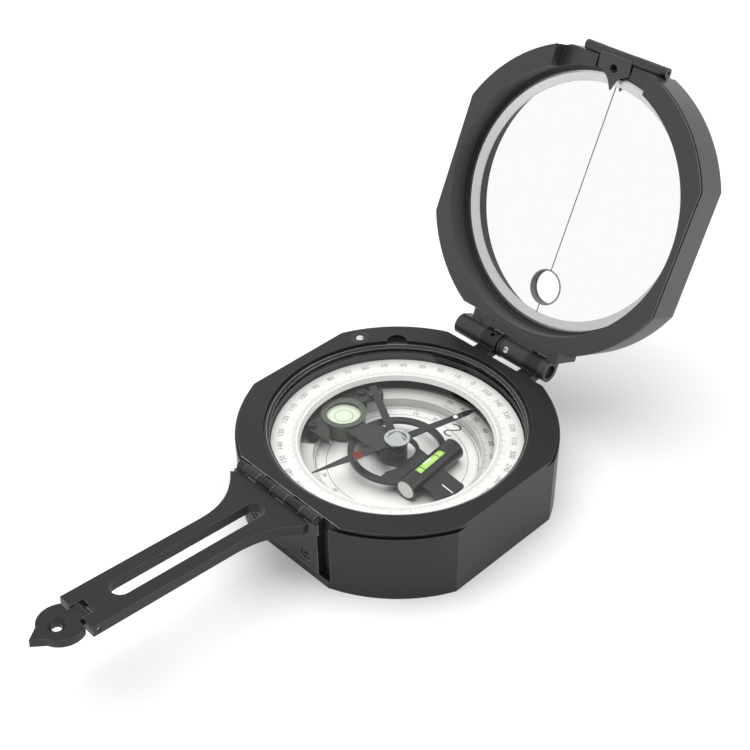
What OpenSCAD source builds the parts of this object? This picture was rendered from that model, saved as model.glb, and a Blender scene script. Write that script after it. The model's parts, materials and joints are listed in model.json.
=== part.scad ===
// Pocket transit compass for field geology: a round case cut by four flats,
// with a mirror lid held open and a long slotted sight arm swung out in front.
// Origin: centre of the case's bottom face. +Z is up, the sight arm runs
// towards -Y, and the lid's hinge is on the +Y side.

/* [Case] */
// Radius of the round part of the case
case_r = 40; // [38:0.5:44]
// Distance from the centre to each side flat
side_flat = 36.3; // [36:0.1:37]
// Distance from the centre to the flat under the sight arm
arm_flat = 37.3; // [36.5:0.1:37.8]
// Distance from the centre to the flat at the lid hinge
hinge_flat = 35.8; // [35.2:0.1:36.4]
// Height of the case, bottom to rim
case_h = 20.3; // [19.9:0.1:22]
// Radius of the rim's edge on the round stretches
rim_edge_r = 39.4; // [39:0.1:39.9]
// Radius of the opening in the rim
rim_r = 33; // [32.8:0.1:33.5]
// Height of the shadow groove under the rim
groove_h = 0.6; // [0.4:0.1:1.2]
// Depth of the shadow groove
groove_d = 0.5; // [0.3:0.1:0.9]
// Thickness of the lip above the shadow groove
lip_t = 0.5; // [0.3:0.1:0.7]

/* [Base] */
// Thickness of the cover that closes the case from below
base_t = 2.2; // [2:0.1:2.6]
// Radius of the base cover
base_r = 31; // [29:0.5:32]
// Radius of the recess that the clinometer lever turns in
lever_recess_r = 13; // [11:0.5:16]
// Radius of the circle of base screws
base_screw_pcr = 26; // [24:0.5:26.5]

/* [Glass] */
// Thickness of the cover glass
glass_t = 1.5; // [1.2:0.1:1.6]
// Height of the glass seat above the bottom face
glass_seat_z = 17; // [16.7:0.05:17.3]
// Inner radius of the ring that holds the glass
glass_ring_r = 31.5; // [30:0.1:31.9]
// Height of the ring that holds the glass
glass_ring_h = 0.9; // [0.6:0.1:1.1]

/* [Dials] */
// Height of the inner dial's face
dial_z = 7.3; // [6.8:0.1:7.4]
// Thickness of the inner dial
dial_t = 1; // [0.8:0.1:1.4]
// Inner radius of the raised clinometer scale
scale_r = 21.2; // [21:0.1:22]
// Outer radius of the raised clinometer scale
scale_outer_r = 25.4; // [24.5:0.1:25.6]
// Height of the raised scale above the inner dial
scale_h = 2.8; // [2:0.1:2.9]
// Inner radius of the azimuth ring
azimuth_r = 24; // [23.9:0.1:24.6]
// Width of the bevel at the azimuth ring's inner edge
azimuth_bevel = 0.8; // [0.4:0.1:1.2]
// Outer radius of the azimuth ring
azimuth_outer_r = 31.5; // [31:0.1:31.6]
// Height of the azimuth ring's face
azimuth_z = 15.1; // [14.9:0.1:15.6]

/* [Needle] */
// Distance from the pivot to each tip of the needle
needle_reach = 23.9; // [20:0.1:23.9]
// Widest part of the needle's blade
needle_w = 2.2; // [1.6:0.1:2.8]
// Thickness of the needle's blade
needle_t = 0.3; // [0.2:0.05:0.4]
// Bearing of the needle at rest, from the lid's side towards +X
needle_bearing = 14.7; // [-60:0.1:100]
// Radius of the cap over the pivot
cap_r = 3.25; // [3:0.05:4]
// Radius of the steel pivot
pivot_r = 0.35; // [0.25:0.05:0.5]

/* [Levels] */
// Radius of the round level's cup
round_level_r = 5.7; // [5:0.1:5.7]
// Distance from the centre to the round level
round_level_reach = 18.5; // [18.5:0.1:19]
// Direction of the round level, anticlockwise from +X
round_level_angle = 183; // [182:1:188]
// Outer radius of the tube level
tube_r = 2.9; // [2.4:0.1:2.9]
// Length of the tube level
tube_len = 19.5; // [16:0.5:20]
// Distance from the centre to the tube level's axis
tube_reach = 10.5; // [9.8:0.1:10.6]
// Angle of the clinometer at rest, anticlockwise
clinometer_angle = -5; // [-40:1:40]

/* [Lid] */
// Radius of the round part of the lid
lid_r = 39.3; // [38.6:0.1:39.8]
// Distance from the centre to each side flat of the lid
lid_side_flat = 35.8; // [35.4:0.1:37]
// Distance from the centre to the lid's flat at the peep sight
lid_peep_flat = 36.85; // [36.5:0.05:37]
// Thickness of the lid
lid_t = 10.7; // [10.4:0.1:12.5]
// Gap between the closed lid and the case
lid_gap = 0.4; // [0.3:0.05:0.6]
// Radius of the hollow in the lid
lid_bore_r = 34.2; // [33.8:0.1:34.4]
// Thickness of the lid's wall at the hinge
lid_hinge_wall = 0.9; // [0.8:0.1:1.2]
// Thickness of the mirror
mirror_t = 1.5; // [1.2:0.1:1.8]
// Radius of the mirror that shows inside its ring
mirror_view_r = 30.7; // [29:0.1:31.5]
// Radius of the sighting window in the mirror
window_r = 4.4; // [3.5:0.1:5]
// Distance from the centre to the sighting window
window_y = 23.7; // [20:0.1:24]
// Angle of the lid at rest, from closed
lid_open = 114; // [60:1:130]

/* [Hinge] */
// Radius of the lid hinge's barrel
barrel_r = 2.85; // [2.6:0.05:3]
// Radius of the lid hinge's pin
hinge_pin_r = 1.2; // [0.8:0.05:1.5]
// Distance from the lid's wall to the hinge's axis
hinge_stand = 5.8; // [5.7:0.1:6.4]

/* [Sight arm] */
// Angle that the arm rises at rest
arm_rise = 4.5; // [0:0.5:20]
// Distance from the arm's hinge to the tip's hinge
arm_len = 54.4; // [46:0.1:55]
// Width of the arm's straight stretch
arm_w = 12; // [10:0.1:12.4]
// Thickness of the arm
arm_t = 2.7; // [2.2:0.1:2.8]
// Width of the sighting slot
slot_w = 5; // [4.4:0.1:5.4]
// Length of the sighting slot
slot_len = 41.5; // [30:0.5:42]
// Sideways place of the arm's middle
arm_x = -0.4; // [-1:0.1:0]
// Radius of the arm hinge's knuckles
arm_knuckle_r = 1.25; // [1.1:0.05:1.3]
// Radius of the arm hinge's pin
arm_pin_r = 0.55; // [0.4:0.05:0.6]

/* [Tip sight] */
// Radius of the disc at the tip
tip_disc_r = 5.3; // [4.8:0.1:5.6]
// Distance from the tip's hinge to the middle of the disc
tip_disc_y = 5; // [4.6:0.1:5.6]
// Distance from the tip's hinge to the hole in the disc
tip_hole_y = 6.2; // [5.4:0.1:6.6]
// Distance from the tip's hinge to the point
tip_reach = 12.7; // [11.8:0.1:13.4]
// Thickness of the tip sight
tip_t = 2; // [1.8:0.1:2.4]
// Radius of the hole in the disc
tip_hole_r = 1.2; // [0.8:0.1:1.6]

/* [Peep sight] */
// Width of the peep sight's plate
peep_w = 9.4; // [8:0.1:9.8]
// Distance from the peep sight's axis to its point
peep_reach = 8.7; // [8:0.1:10]
// Thickness of the peep sight's plate
peep_t = 0.8; // [0.6:0.05:0.8]
// Radius of the hole in the peep sight
peep_hole_r = 1.1; // [0.8:0.1:1.5]
// Angle that the stored peep sight leans towards the mirror
peep_lean = 14; // [0:1:14]

/* [Lift pin] */
// Distance from the opening in the rim to the lift pin
lift_inset = 2.9; // [2.6:0.1:3.2]
// Direction of the lift pin, anticlockwise from +X
lift_angle = 151; // [149:1:152]
// Radius of the lift pin
lift_pin_r = 1.2; // [1:0.05:1.3]
// Height that the lift pin stands above the rim
lift_proud = 0.3; // [0.1:0.05:0.3]

/* [Declination screw] */
// Teeth round the full circle of the ring gear
ring_teeth = 144; // [144]
// Teeth on the pinion
pinion_teeth = 12; // [12]
// Radius at the middle of the ring gear's teeth
mesh_r = 27.5; // [27.4:0.05:27.6]

/* [Fits] */
// Radial clearance of pins and shafts in their bores
run_fit = 0.06; // [0.03:0.01:0.09]
// Clearance round pieces that are set in place
set_fit = 0.1; // [0.05:0.01:0.15]
// Gap between faces that slide past each other
face_gap = 0.25; // [0.2:0.05:0.3]

/* [Hidden] */
$fn = 96;
eps = 0.01;
far = 100;

// heights in the case
bore_z = base_t + 0.4;
ledge_z = azimuth_z - 2.2;
ring_gear_z = ledge_z + 0.1;
ring_gear_t = 0.7;
seat_r = azimuth_outer_r + 0.3;
inner_bore_r = 29.5;
base_screw_r = 1;
base_screw_angles = [45:90:315];
base_boss_r = 2.8;
glass_r = rim_r - 0.4;
glass_top = glass_seat_z + glass_t;
gasket_t = 0.2;

// needle stack above the inner dial
needle_z = 13.9;
hub_top = needle_z + 0.5;
cap_flange_t = 0.5;
cap_dome_h = 0.8;
pivot_top = needle_z + 1.1;
column_r = 2.6;
bracket_z = 11.35;
bracket_t = 0.85;
boss_top = 12.6;
lever_z = 12.75;
lever_t = 0.4;
level_top = 12.7;

// clinometer
plate_z = 10.1;
plate_t = 1;
plate_r = 12.5;
plate_hole_r = 10.8;
tube_z = dial_z + 0.15 + tube_r;
tube_turn = 10.8;
vial_window_turn = 20;
collar_r = 5.6;
collar_hole_r = 4.6;
index_reach = scale_r - 0.3;
index_w = 7.8;
index_in = tube_reach;
shaft_r = 1.5;
lever_bar_t = 1.2;
pillar_r = 1.4;
pillar_reach = 23;
pillar_angles = [159, 205];

// lift pin and lever
lift_reach = rim_r + lift_inset;
fulcrum_reach = 20.6;
fulcrum_z = lever_z;
fulcrum_r = 0.5;
fulcrum_pin_r = 0.3;
lift_foot_z = 11.5;
lever_low_z = 10.9;
lever_low_t = 0.5;
lever_step_r = 23.3;
lever_w = 2;
spring_z = 7.7;
spring_r = 1.1;
spring_bore_r = 0.75;

// declination screw
mesh_pitch = 2 * PI * mesh_r / ring_teeth;
pinion_r = mesh_pitch * pinion_teeth / (2 * PI);
tooth_deep = 0.35;
tooth_w = 0.4;
pinion_z = ring_gear_z - tooth_deep - 0.25 - pinion_r;
screw_r = 1;
screw_head_r = 2.3;
screw_head_t = 1.3;

// lid, in its closed place
lid_z = case_h + lid_gap;
lid_hinge_flat = lid_bore_r + lid_hinge_wall;
hinge_y = lid_hinge_flat + hinge_stand;
hinge_z = lid_z + 0.1;
lid_top = lid_z + lid_t;
lid_back_t = 1.1;
mirror_z = lid_top - lid_back_t - mirror_t;
mirror_r = lid_bore_r - 1;
mirror_ring_h = 1.2;
lid_knuckles = [[-16.2, -7.35], [-0.5, 7.7], [12.4, 14.6]];
case_knuckles = [[-7.2, -2.5], [7.85, 12.25]];
scoop_gap = face_gap + 1.4;
washer_x = [-2.35, -0.65];
barrel_seam_x = -10.6;
leaf_x = [-13.5, 15.4];
leaf_t = hinge_stand - barrel_r + 0.15;
leaf_h = 9;
leaf_screw_x = [-10, 2, 10.5];
grub_x = 1.4;
grub_angle = 172;
socket_r = 1.9;
socket_deep = 1.3;
set_hole_x = -4.3;
set_hole_angle = 18;

// hinge of the sight arm
arm_hinge_y = arm_flat + 0.3;
arm_hinge_z = case_h + 0.1;
arm_top = case_h - 0.2;
arm_bottom = arm_top - arm_t;
tab_w = 4.8;
tab_pitch = 9.9;
arm_root_left = arm_x - tab_pitch - tab_w / 2 - 2.2;
arm_root_right = arm_x + tab_pitch + 1.4;
flare_len = 20;
hinge_plate_t = 1.8;
hinge_plate_x = [-14.4, 11.2];
hinge_plate_z = 2.3;
pocket_x = 15;
plate_screw_x = [arm_x - 10.8, arm_x + 7.3];
plate_screw_z = 6.1;
arm_pin_x = [arm_root_left + 0.2, tab_x(2) + tab_w / 2 - 0.1];

// tip of the sight arm
tip_y = arm_hinge_y + arm_len;
tip_z = arm_top - arm_t / 2;
tip_knuckle_r = 1.3;
tip_knuckle_w = 4.2;
tip_end = 1.4;
tip_gap = 2.25;
tip_pin_r = 0.5;
slot_end = tip_y - 7.3;

// peep sight
peep_axis_y = lid_peep_flat + 1.35;
peep_axis_z = lid_z + 4.6;
peep_knuckle_r = 1.25;
peep_pin_r = 0.5;
peep_ears = [[-9.8, -4.95], [4.95, 14.6]];
peep_notch_x = 5.3;
peep_notch_z = peep_axis_z + 2.1;
recess_x = [arm_root_left - 0.5, tab_x(2) + tab_w / 2 + 0.5];
recess_z = lid_z + 4;

function polar(r, a) = [r * cos(a), r * sin(a)];
function chord(r, d) = sqrt(r * r - d * d);

// a disc of radius r cut by flats at the given distances
module cut_disc(r, h, side, arm, hinge) {
    intersection() {
        cylinder(r = r, h = h, $fn = 180);
        translate([-side, -arm, -1])
            cube([2 * side, arm + hinge, h + 2]);
    }
}

module tube(r_out, r_in, h) {
    difference() {
        cylinder(r = r_out, h = h);
        translate([0, 0, -1])
            cylinder(r = r_in, h = h + 2);
    }
}

// a cylinder along X between two places
module rod_x(x, r) {
    translate([x[0], 0, 0])
        rotate([0, 90, 0])
            cylinder(r = r, h = x[1] - x[0]);
}

// everything on the lid is drawn closed and then swung open
module on_lid() {
    translate([0, hinge_y, hinge_z])
        rotate([-lid_open, 0, 0])
            translate([0, -hinge_y, -hinge_z])
                children();
}

// everything on the sight arm is drawn level and then raised
module on_arm() {
    translate([0, -arm_hinge_y, arm_hinge_z])
        rotate([-arm_rise, 0, 0])
            translate([0, arm_hinge_y, -arm_hinge_z])
                children();
}

module on_clinometer() {
    rotate([0, 0, clinometer_angle])
        children();
}

module on_needle() {
    rotate([0, 0, -needle_bearing])
        children();
}

module at_lift() {
    translate(concat(polar(lift_reach, lift_angle), 0))
        children();
}

// a slotted round head, its top at z = 0
module slotted_head(r, h, slot) {
    difference() {
        translate([0, 0, -h])
            cylinder(r = r, h = h);
        translate([-far / 2, -slot / 2, -h * 0.45])
            cube([far, slot, h]);
    }
}

module case_knuckle_blocks() {
    for (k = case_knuckles) {
        translate([k[0], hinge_flat - 1, hinge_z - barrel_r])
            cube([k[1] - k[0], hinge_y - hinge_flat + 1, case_h - hinge_z + barrel_r]);
        translate([0, hinge_y, hinge_z])
            rod_x(k, barrel_r);
    }
}

// bosses that take the base screws and carry the inner dial
module base_bosses()
    for (a = base_screw_angles)
        rotate([0, 0, a])
            translate([base_screw_pcr, 0, base_t])
                difference() {
                    union() {
                        cylinder(r = base_boss_r, h = dial_z - dial_t - base_t);
                        translate([0, -base_boss_r, 0])
                            cube([base_r - base_screw_pcr, 2 * base_boss_r,
                                  dial_z - dial_t - base_t]);
                    }
                    translate([0, 0, -1])
                        cylinder(r = base_screw_r, h = 3.5);
                }

module case_shell() color([0.16, 0.16, 0.17]) {
    base_bosses();
    difference() {
        union() {
            cut_disc(case_r, case_h - lip_t - groove_h, side_flat, arm_flat, hinge_flat);
            cut_disc(rim_edge_r - groove_d, case_h, side_flat, arm_flat, hinge_flat);
            translate([0, 0, case_h - lip_t])
                cut_disc(rim_edge_r, lip_t, side_flat, arm_flat, hinge_flat);
            case_knuckle_blocks();
        }
        // base cover, dial space, azimuth ring, glass
        translate([0, 0, -1])
            cylinder(r = base_r + set_fit, h = base_t + 1);
        cylinder(r = base_r - 2, h = bore_z);
        translate([0, 0, bore_z])
            cylinder(r = inner_bore_r, h = far);
        translate([0, 0, ledge_z])
            cylinder(r = seat_r, h = far);
        translate([0, 0, glass_seat_z])
            cylinder(r = glass_r + set_fit, h = far);
        translate([0, 0, glass_top + gasket_t])
            cylinder(r = rim_r, h = far);
        // clearance of the lid's knuckles and the hinge pin
        for (k = lid_knuckles)
            translate([0, hinge_y, hinge_z])
                rod_x([k[0] - face_gap / 2, k[1] + face_gap / 2], barrel_r + scoop_gap);
        // and of the washers between the knuckles
        translate([0, hinge_y, hinge_z])
            rod_x([case_knuckles[0][1], lid_knuckles[1][0]], barrel_r + scoop_gap);
        translate([0, hinge_y, hinge_z])
            rod_x([-far, far], hinge_pin_r + run_fit);
        // oil hole in the first knuckle
        translate([set_hole_x, hinge_y, hinge_z])
            rotate([set_hole_angle, 0, 0])
                cylinder(r = 0.75, h = far);
        // pocket for the arm's hinge plate
        translate([-pocket_x, -far, hinge_plate_z])
            cube([2 * pocket_x, far - arm_flat + hinge_plate_t, far]);
        translate([-far, -far, case_h - lip_t - groove_h])
            cube([2 * far, far - arm_flat + hinge_plate_t, far]);
        // tapped holes of the hinge plate
        for (x = plate_screw_x)
            translate([x, -arm_flat + hinge_plate_t - 1, plate_screw_z])
                rotate([-90, 0, 0])
                    cylinder(r = 0.8, h = 4);
        // lift pin, its bush and the lever's slot
        at_lift() {
            translate([0, 0, spring_z])
                cylinder(r = lift_pin_r + run_fit, h = far);
            translate([0, 0, case_h - 0.8])
                cylinder(r = lift_pin_r + 1.1 + set_fit, h = far);
        }
        rotate([0, 0, lift_angle])
            translate([inner_bore_r - 1, -lever_w / 2 - 0.4, lever_low_z - 1.1])
                cube([lift_reach - inner_bore_r + 1, lever_w + 0.8, 2.1]);
        // notch in the rim's inner edge, for lifting the glass ring
        rotate([0, 0, 135])
            translate([rim_r, 0, case_h - 1.2])
                cylinder(r = 2.6, h = 2);
        // declination screw and its counterbore
        translate([0, 0, pinion_z]) {
            rod_x([-far, -inner_bore_r + 1], screw_r + run_fit);
            rod_x([-far, -side_flat + screw_head_t + 0.3], screw_head_r + 0.15);
        }
    }
}

module base_cover() color([0.13, 0.13, 0.14])
    difference() {
        union() {
            cylinder(r = base_r, h = base_t);
            cylinder(r = 4, h = bore_z + 0.8);
        }
        translate([0, 0, -1])
            cylinder(r = lever_recess_r, h = 1 + lever_bar_t + 0.3);
        translate([0, 0, -1])
            cylinder(r = shaft_r + run_fit, h = far);
        for (a = base_screw_angles)
            rotate([0, 0, a])
                translate([base_screw_pcr, 0, -1]) {
                    cylinder(r = base_screw_r + set_fit, h = far);
                    cylinder(r = 2.1, h = 2.1);
                }
    }

module base_screws() color([0.6, 0.6, 0.62])
    for (a = base_screw_angles)
        rotate([0, 0, a])
            translate([base_screw_pcr, 0, 0]) {
                translate([0, 0, 0.15])
                    rotate([180, 0, 0])
                        slotted_head(1.95, 0.9, 0.5);
                translate([0, 0, 1])
                    cylinder(r = base_screw_r - 0.05, h = base_t + 0.9);
            }

// knuckle places of the sight arm's hinge
function tab_x(i) = arm_x + (i - 1) * tab_pitch;

module arm_hinge_plate() color([0.17, 0.17, 0.18])
    difference() {
        union() {
            translate([hinge_plate_x[0], -arm_flat, hinge_plate_z + set_fit])
                cube([hinge_plate_x[1] - hinge_plate_x[0], hinge_plate_t - set_fit,
                      arm_bottom - 1 - hinge_plate_z]);
            for (i = [0:2]) {
                translate([tab_x(i) - tab_w / 2, -arm_flat, arm_bottom - 2])
                    cube([tab_w, hinge_plate_t - set_fit, case_h - arm_bottom + 2]);
                translate([0, -arm_hinge_y, arm_hinge_z])
                    rod_x([tab_x(i) - tab_w / 2, tab_x(i) + tab_w / 2], arm_knuckle_r);
            }
        }
        translate([0, -arm_hinge_y, arm_hinge_z])
            rod_x([-far, far], arm_pin_r + run_fit);
        for (x = plate_screw_x)
            translate([x, -arm_flat - 1, plate_screw_z])
                rotate([-90, 0, 0]) {
                    cylinder(r = 0.9, h = far);
                    cylinder(r = 1.9, h = 2);
                }
    }

module hinge_plate_screws() color([0.1, 0.1, 0.1])
    for (x = plate_screw_x)
        translate([x, -arm_flat + 0.2, plate_screw_z])
            rotate([90, 0, 0]) {
                slotted_head(1.7, 0.7, 0.45);
                translate([0, 0, -4.2])
                    cylinder(r = 0.75, h = 3.6);
            }

module inner_dial() color([0.95, 0.95, 0.93])
    difference() {
        translate([0, 0, dial_z - dial_t])
            cylinder(r = inner_bore_r - set_fit, h = dial_t);
        translate([0, 0, -1])
            cylinder(r = column_r - 0.4, h = far);
        for (a = pillar_angles)
            translate(concat(polar(pillar_reach, a), -1))
                cylinder(r = 0.7, h = far);
    }

module clinometer_scale() color([0.88, 0.88, 0.86])
    difference() {
        translate([0, 0, dial_z])
            tube(scale_outer_r, scale_r, scale_h);
        // left open round the round level and the lift lever
        linear_extrude(far)
            polygon([[0, 0], polar(far, 145), polar(far, 180), polar(far, 217)]);
    }

// neck from the pivot to the cup, and wings behind the cup and beside it
module bracket_outline() {
    cup = polar(round_level_reach, round_level_angle);
    outer = pillar_reach + 1.9;
    polygon([
        polar(3.9, 120), polar(8.3, 160), polar(10.6, 177), cup,
        polar(13.9, 201), polar(8.1, 220), polar(3.9, 247)
    ]);
    polygon([
        cup, cup + [-0.2, 6.6], polar(19.5, 157), polar(19.4, 145.5), polar(22.2, 146),
        polar(22.1, 155), polar(24.4, 157), polar(24.6, 163), polar(outer, 176), polar(outer, 190),
        polar(outer, 207), polar(17, 221), polar(18.9, 201.5)
    ]);
}

module level_bracket() color([0.14, 0.15, 0.15])
    difference() {
        union() {
            translate([0, 0, bracket_z])
                linear_extrude(bracket_t)
                    bracket_outline();
            translate([0, 0, bracket_z])
                cylinder(r = column_r, h = boss_top - bracket_z);
            for (a = pillar_angles)
                translate(concat(polar(pillar_reach, a), dial_z))
                    cylinder(r = pillar_r, h = bracket_z - dial_z + bracket_t / 2);
            // cheeks that carry the lift lever's fulcrum
            rotate([0, 0, lift_angle])
                for (s = [-1, 1])
                    translate([fulcrum_reach - 0.9, s * (lever_w / 2 + 0.6) - 0.35, bracket_z])
                        cube([1.8, 0.7, fulcrum_z + 0.6 - bracket_z]);
        }
        translate(concat(polar(round_level_reach, round_level_angle), 0))
            cylinder(r = round_level_r, h = far);
        translate([0, 0, -1])
            cylinder(r = pivot_r, h = far);
        for (a = pillar_angles)
            translate(concat(polar(pillar_reach, a), 0))
                cylinder(r = 0.6, h = far);
        rotate([0, 0, lift_angle])
            translate([fulcrum_reach, 0, fulcrum_z])
                rotate([90, 0, 0])
                    cylinder(r = fulcrum_pin_r, h = far, center = true);
    }

module bracket_screws() color([0.62, 0.62, 0.6])
    for (a = pillar_angles)
        translate(concat(polar(pillar_reach, a), 0)) {
            translate([0, 0, bracket_z + bracket_t + 0.7])
                rotate([0, 0, 30])
                    slotted_head(1.2, 0.7, 0.35);
            translate([0, 0, dial_z - dial_t])
                cylinder(r = 0.55, h = bracket_z + bracket_t - dial_z + dial_t);
        }

module pivot_pin() color([0.75, 0.75, 0.76])
    translate([0, 0, bracket_z]) {
        cylinder(r = pivot_r, h = pivot_top - 0.5 - bracket_z);
        translate([0, 0, pivot_top - 0.5 - bracket_z])
            cylinder(r1 = pivot_r, r2 = 0.08, h = 0.5);
    }

module at_round_level() {
    translate(concat(polar(round_level_reach, round_level_angle), 0))
        children();
}

module level_cup() color([0.13, 0.14, 0.14])
    at_round_level()
        difference() {
            translate([0, 0, dial_z + 0.3])
                cylinder(r = round_level_r, h = level_top - 0.5 - dial_z - 0.3);
            translate([0, 0, dial_z + 2])
                cylinder(r = round_level_r - 0.9, h = far);
        }

module level_bezel() color([0.72, 0.74, 0.73])
    at_round_level()
        translate([0, 0, level_top - 0.5])
            tube(round_level_r + 0.2, round_level_r - 1.2, 0.5);

module level_lens() color([0.8, 0.88, 0.78, 0.5])
    at_round_level()
        translate([0, 0, level_top - 1.2])
            cylinder(r = round_level_r - 0.9 - set_fit, h = 0.7);

module level_liquid() color([0.75, 0.87, 0.68])
    at_round_level()
        translate([0, 0, dial_z + 2])
            cylinder(r = round_level_r - 0.9 - set_fit, h = level_top - 1.2 - dial_z - 2);

module cover_glass() color([0.9, 0.95, 0.95, 0.25])
    translate([0, 0, glass_seat_z])
        cylinder(r = glass_r, h = glass_t);

module glass_gasket() color([0.05, 0.05, 0.05])
    translate([0, 0, glass_top])
        tube(glass_r - 0.1, glass_ring_r + 0.3, gasket_t);

// a low ring, bevelled on its inner edge
module glass_ring() color([0.5, 0.5, 0.5])
    translate([0, 0, glass_top + gasket_t])
        rotate_extrude($fn = 180)
            polygon([
                [glass_ring_r, 0], [rim_r - set_fit, 0], [rim_r - set_fit, glass_ring_h],
                [glass_ring_r + 0.7, glass_ring_h], [glass_ring_r, 0.3]
            ]);

module lift_bush() color([0.7, 0.7, 0.7])
    at_lift()
        translate([0, 0, case_h - 0.8])
            tube(lift_pin_r + 1.1, lift_pin_r + run_fit, 0.8);

module fulcrum_pin() color([0.6, 0.6, 0.6])
    rotate([0, 0, lift_angle])
        translate([fulcrum_reach, 0, fulcrum_z])
            rotate([90, 0, 0])
                cylinder(r = fulcrum_pin_r, h = lever_w + 1.9, center = true);

module azimuth_ring() color([0.96, 0.96, 0.94])
    translate([0, 0, ring_gear_z + ring_gear_t])
        rotate_extrude($fn = 180)
            polygon([
                [azimuth_r + azimuth_bevel / 4, 0], [azimuth_outer_r, 0],
                [azimuth_outer_r, azimuth_z - ring_gear_z - ring_gear_t],
                [azimuth_r + azimuth_bevel, azimuth_z - ring_gear_z - ring_gear_t]
            ]);

// the teeth hang from the ring on the side of the pinion
module ring_gear() color([0.72, 0.6, 0.32]) {
    translate([0, 0, ring_gear_z])
        tube(azimuth_outer_r - 0.1, mesh_r - 1.9, ring_gear_t);
    for (i = [-11:10])
        rotate([0, 0, (i + 0.5) * 360 / ring_teeth])
            translate([-mesh_r - 1.2, -tooth_w / 2, ring_gear_z - 0.8])
                cube([2.4, tooth_w, 0.8 + ring_gear_t / 2]);
}

module declination_pinion() color([0.72, 0.6, 0.32])
    translate([0, 0, pinion_z])
        difference() {
            union() {
                rod_x([-mesh_r - 1.1, -mesh_r + 1.1], pinion_r - 0.55);
                for (i = [0:pinion_teeth - 1])
                    rotate([i * 360 / pinion_teeth, 0, 0])
                        translate([-mesh_r - 1, -0.17, 0])
                            cube([2, 0.34, pinion_r + tooth_deep]);
            }
            rod_x([-far, far], 0.6);
        }

module declination_screw() color([0.55, 0.55, 0.56])
    translate([0, 0, pinion_z]) {
        rod_x([-mesh_r - 1.1, -mesh_r + 1.1], 0.6);
        rod_x([-side_flat + 0.8, -mesh_r - 1.1], screw_r);
        translate([-side_flat + 0.1, 0, 0])
            rotate([0, -90, 0])
                slotted_head(screw_head_r, screw_head_t, 0.6);
    }

module clinometer_plate() color([0.12, 0.13, 0.13])
    on_clinometer()
        difference() {
            union() {
                translate([0, 0, plate_z])
                    tube(plate_r, plate_hole_r, plate_t);
                // collar round the column, and the web that joins it to the tube level
                translate([0, 0, plate_z]) {
                    linear_extrude(plate_t)
                        difference() {
                            union() {
                                circle(r = collar_r);
                                polygon([
                                    [0, 4.4], [tube_reach, 4.4], [tube_reach, -index_w],
                                    polar(plate_hole_r + 0.5, 298), polar(8.8, 302),
                                    polar(7.2, 321), [3, -index_w / 2]
                                ]);
                            }
                            circle(r = collar_hole_r);
                        }
                    translate([-collar_r + 0.3, -1.5, 0])
                        cube([collar_r, 3, plate_t]);
                }
                translate([0, 0, dial_z + 0.3])
                    cylinder(r = column_r, h = bracket_z - 0.25 - dial_z - 0.3);
            }
            translate([0, 0, -1])
                cylinder(r = shaft_r, h = plate_z + 1);
            seat_of_tube();
        }

// its lower end is flush with the bottom face
module clinometer_shaft() color([0.7, 0.7, 0.71])
    cylinder(r = shaft_r, h = plate_z);

module clinometer_lever() color([0.1, 0.1, 0.1])
    on_clinometer()
        difference() {
            union() {
                translate([0, 0, 0.25])
                    cylinder(r = 4.5, h = lever_bar_t);
                translate([-2, 0, 0.25])
                    cube([4, lever_recess_r - 2.4, lever_bar_t]);
                translate([0, lever_recess_r - 3, 0.25])
                    cylinder(r = 2.4, h = lever_bar_t);
            }
            translate([0, 0, -1])
                cylinder(r = shaft_r, h = far);
        }

module index_plate() color([0.1, 0.1, 0.1])
    on_clinometer()
        difference() {
            intersection() {
                translate([index_in, -index_w / 2, plate_z])
                    cube([far, index_w, plate_t]);
                cylinder(r = index_reach, h = far);
            }
            // engraved index line
            translate([index_in, -0.2, plate_z + plate_t - 0.2])
                cube([far, 0.4, 1]);
            seat_of_tube();
            rotate([0, 0, tube_turn])
                translate([tube_reach - far, -far, 0])
                    cube([far, 2 * far, far]);
        }

// the tube level stands square to its own radius, a little askew to the index
module seat_of_tube()
    rotate([0, 0, tube_turn])
        translate([tube_reach, 0, tube_z])
            rotate([90, 0, 0])
                cylinder(r = tube_r, h = far, center = true);

module at_tube() {
    on_clinometer()
        rotate([0, 0, tube_turn])
            translate([tube_reach, 0, tube_z])
                rotate([90, 0, 0])
                    children();
}

module tube_sleeve() color([0.08, 0.08, 0.08])
    at_tube()
        difference() {
            cylinder(r = tube_r, h = tube_len, center = true);
            cylinder(r = tube_r - 0.5, h = far, center = true);
            // window over the vial, turned towards the hub
            rotate([0, 0, vial_window_turn])
                translate([-0.66 * tube_r, 0.2 * tube_r, -tube_len * 0.26])
                    cube([1.32 * tube_r, far, tube_len * 0.52]);
        }

module tube_vial() color([0.75, 0.9, 0.25, 0.8])
    at_tube()
        cylinder(r = tube_r - 0.5 - set_fit, h = tube_len - 2.4, center = true);

module tube_plugs() color([0.85, 0.84, 0.8])
    at_tube()
        for (s = [-1, 1])
            translate([0, 0, s * (tube_len / 2 - 0.6)])
                cylinder(r = tube_r - 0.5, h = 1.1, center = true);

// half a needle, from the hub's edge to its point
module needle_half(root) {
    translate([0, 0, needle_z])
        linear_extrude(needle_t)
            polygon([
                [-needle_w / 2, root], [needle_w / 2, root],
                [needle_w / 2 * 0.75, needle_reach * 0.86], [0, needle_reach],
                [-needle_w / 2 * 0.75, needle_reach * 0.86]
            ]);
}

module needle_north() color([0.06, 0.06, 0.07])
    on_needle()
        difference() {
            needle_half(2.6);
            translate([0, needle_reach * 0.72, needle_z - 1])
                cylinder(r = 0.6, h = 3);
        }

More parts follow.
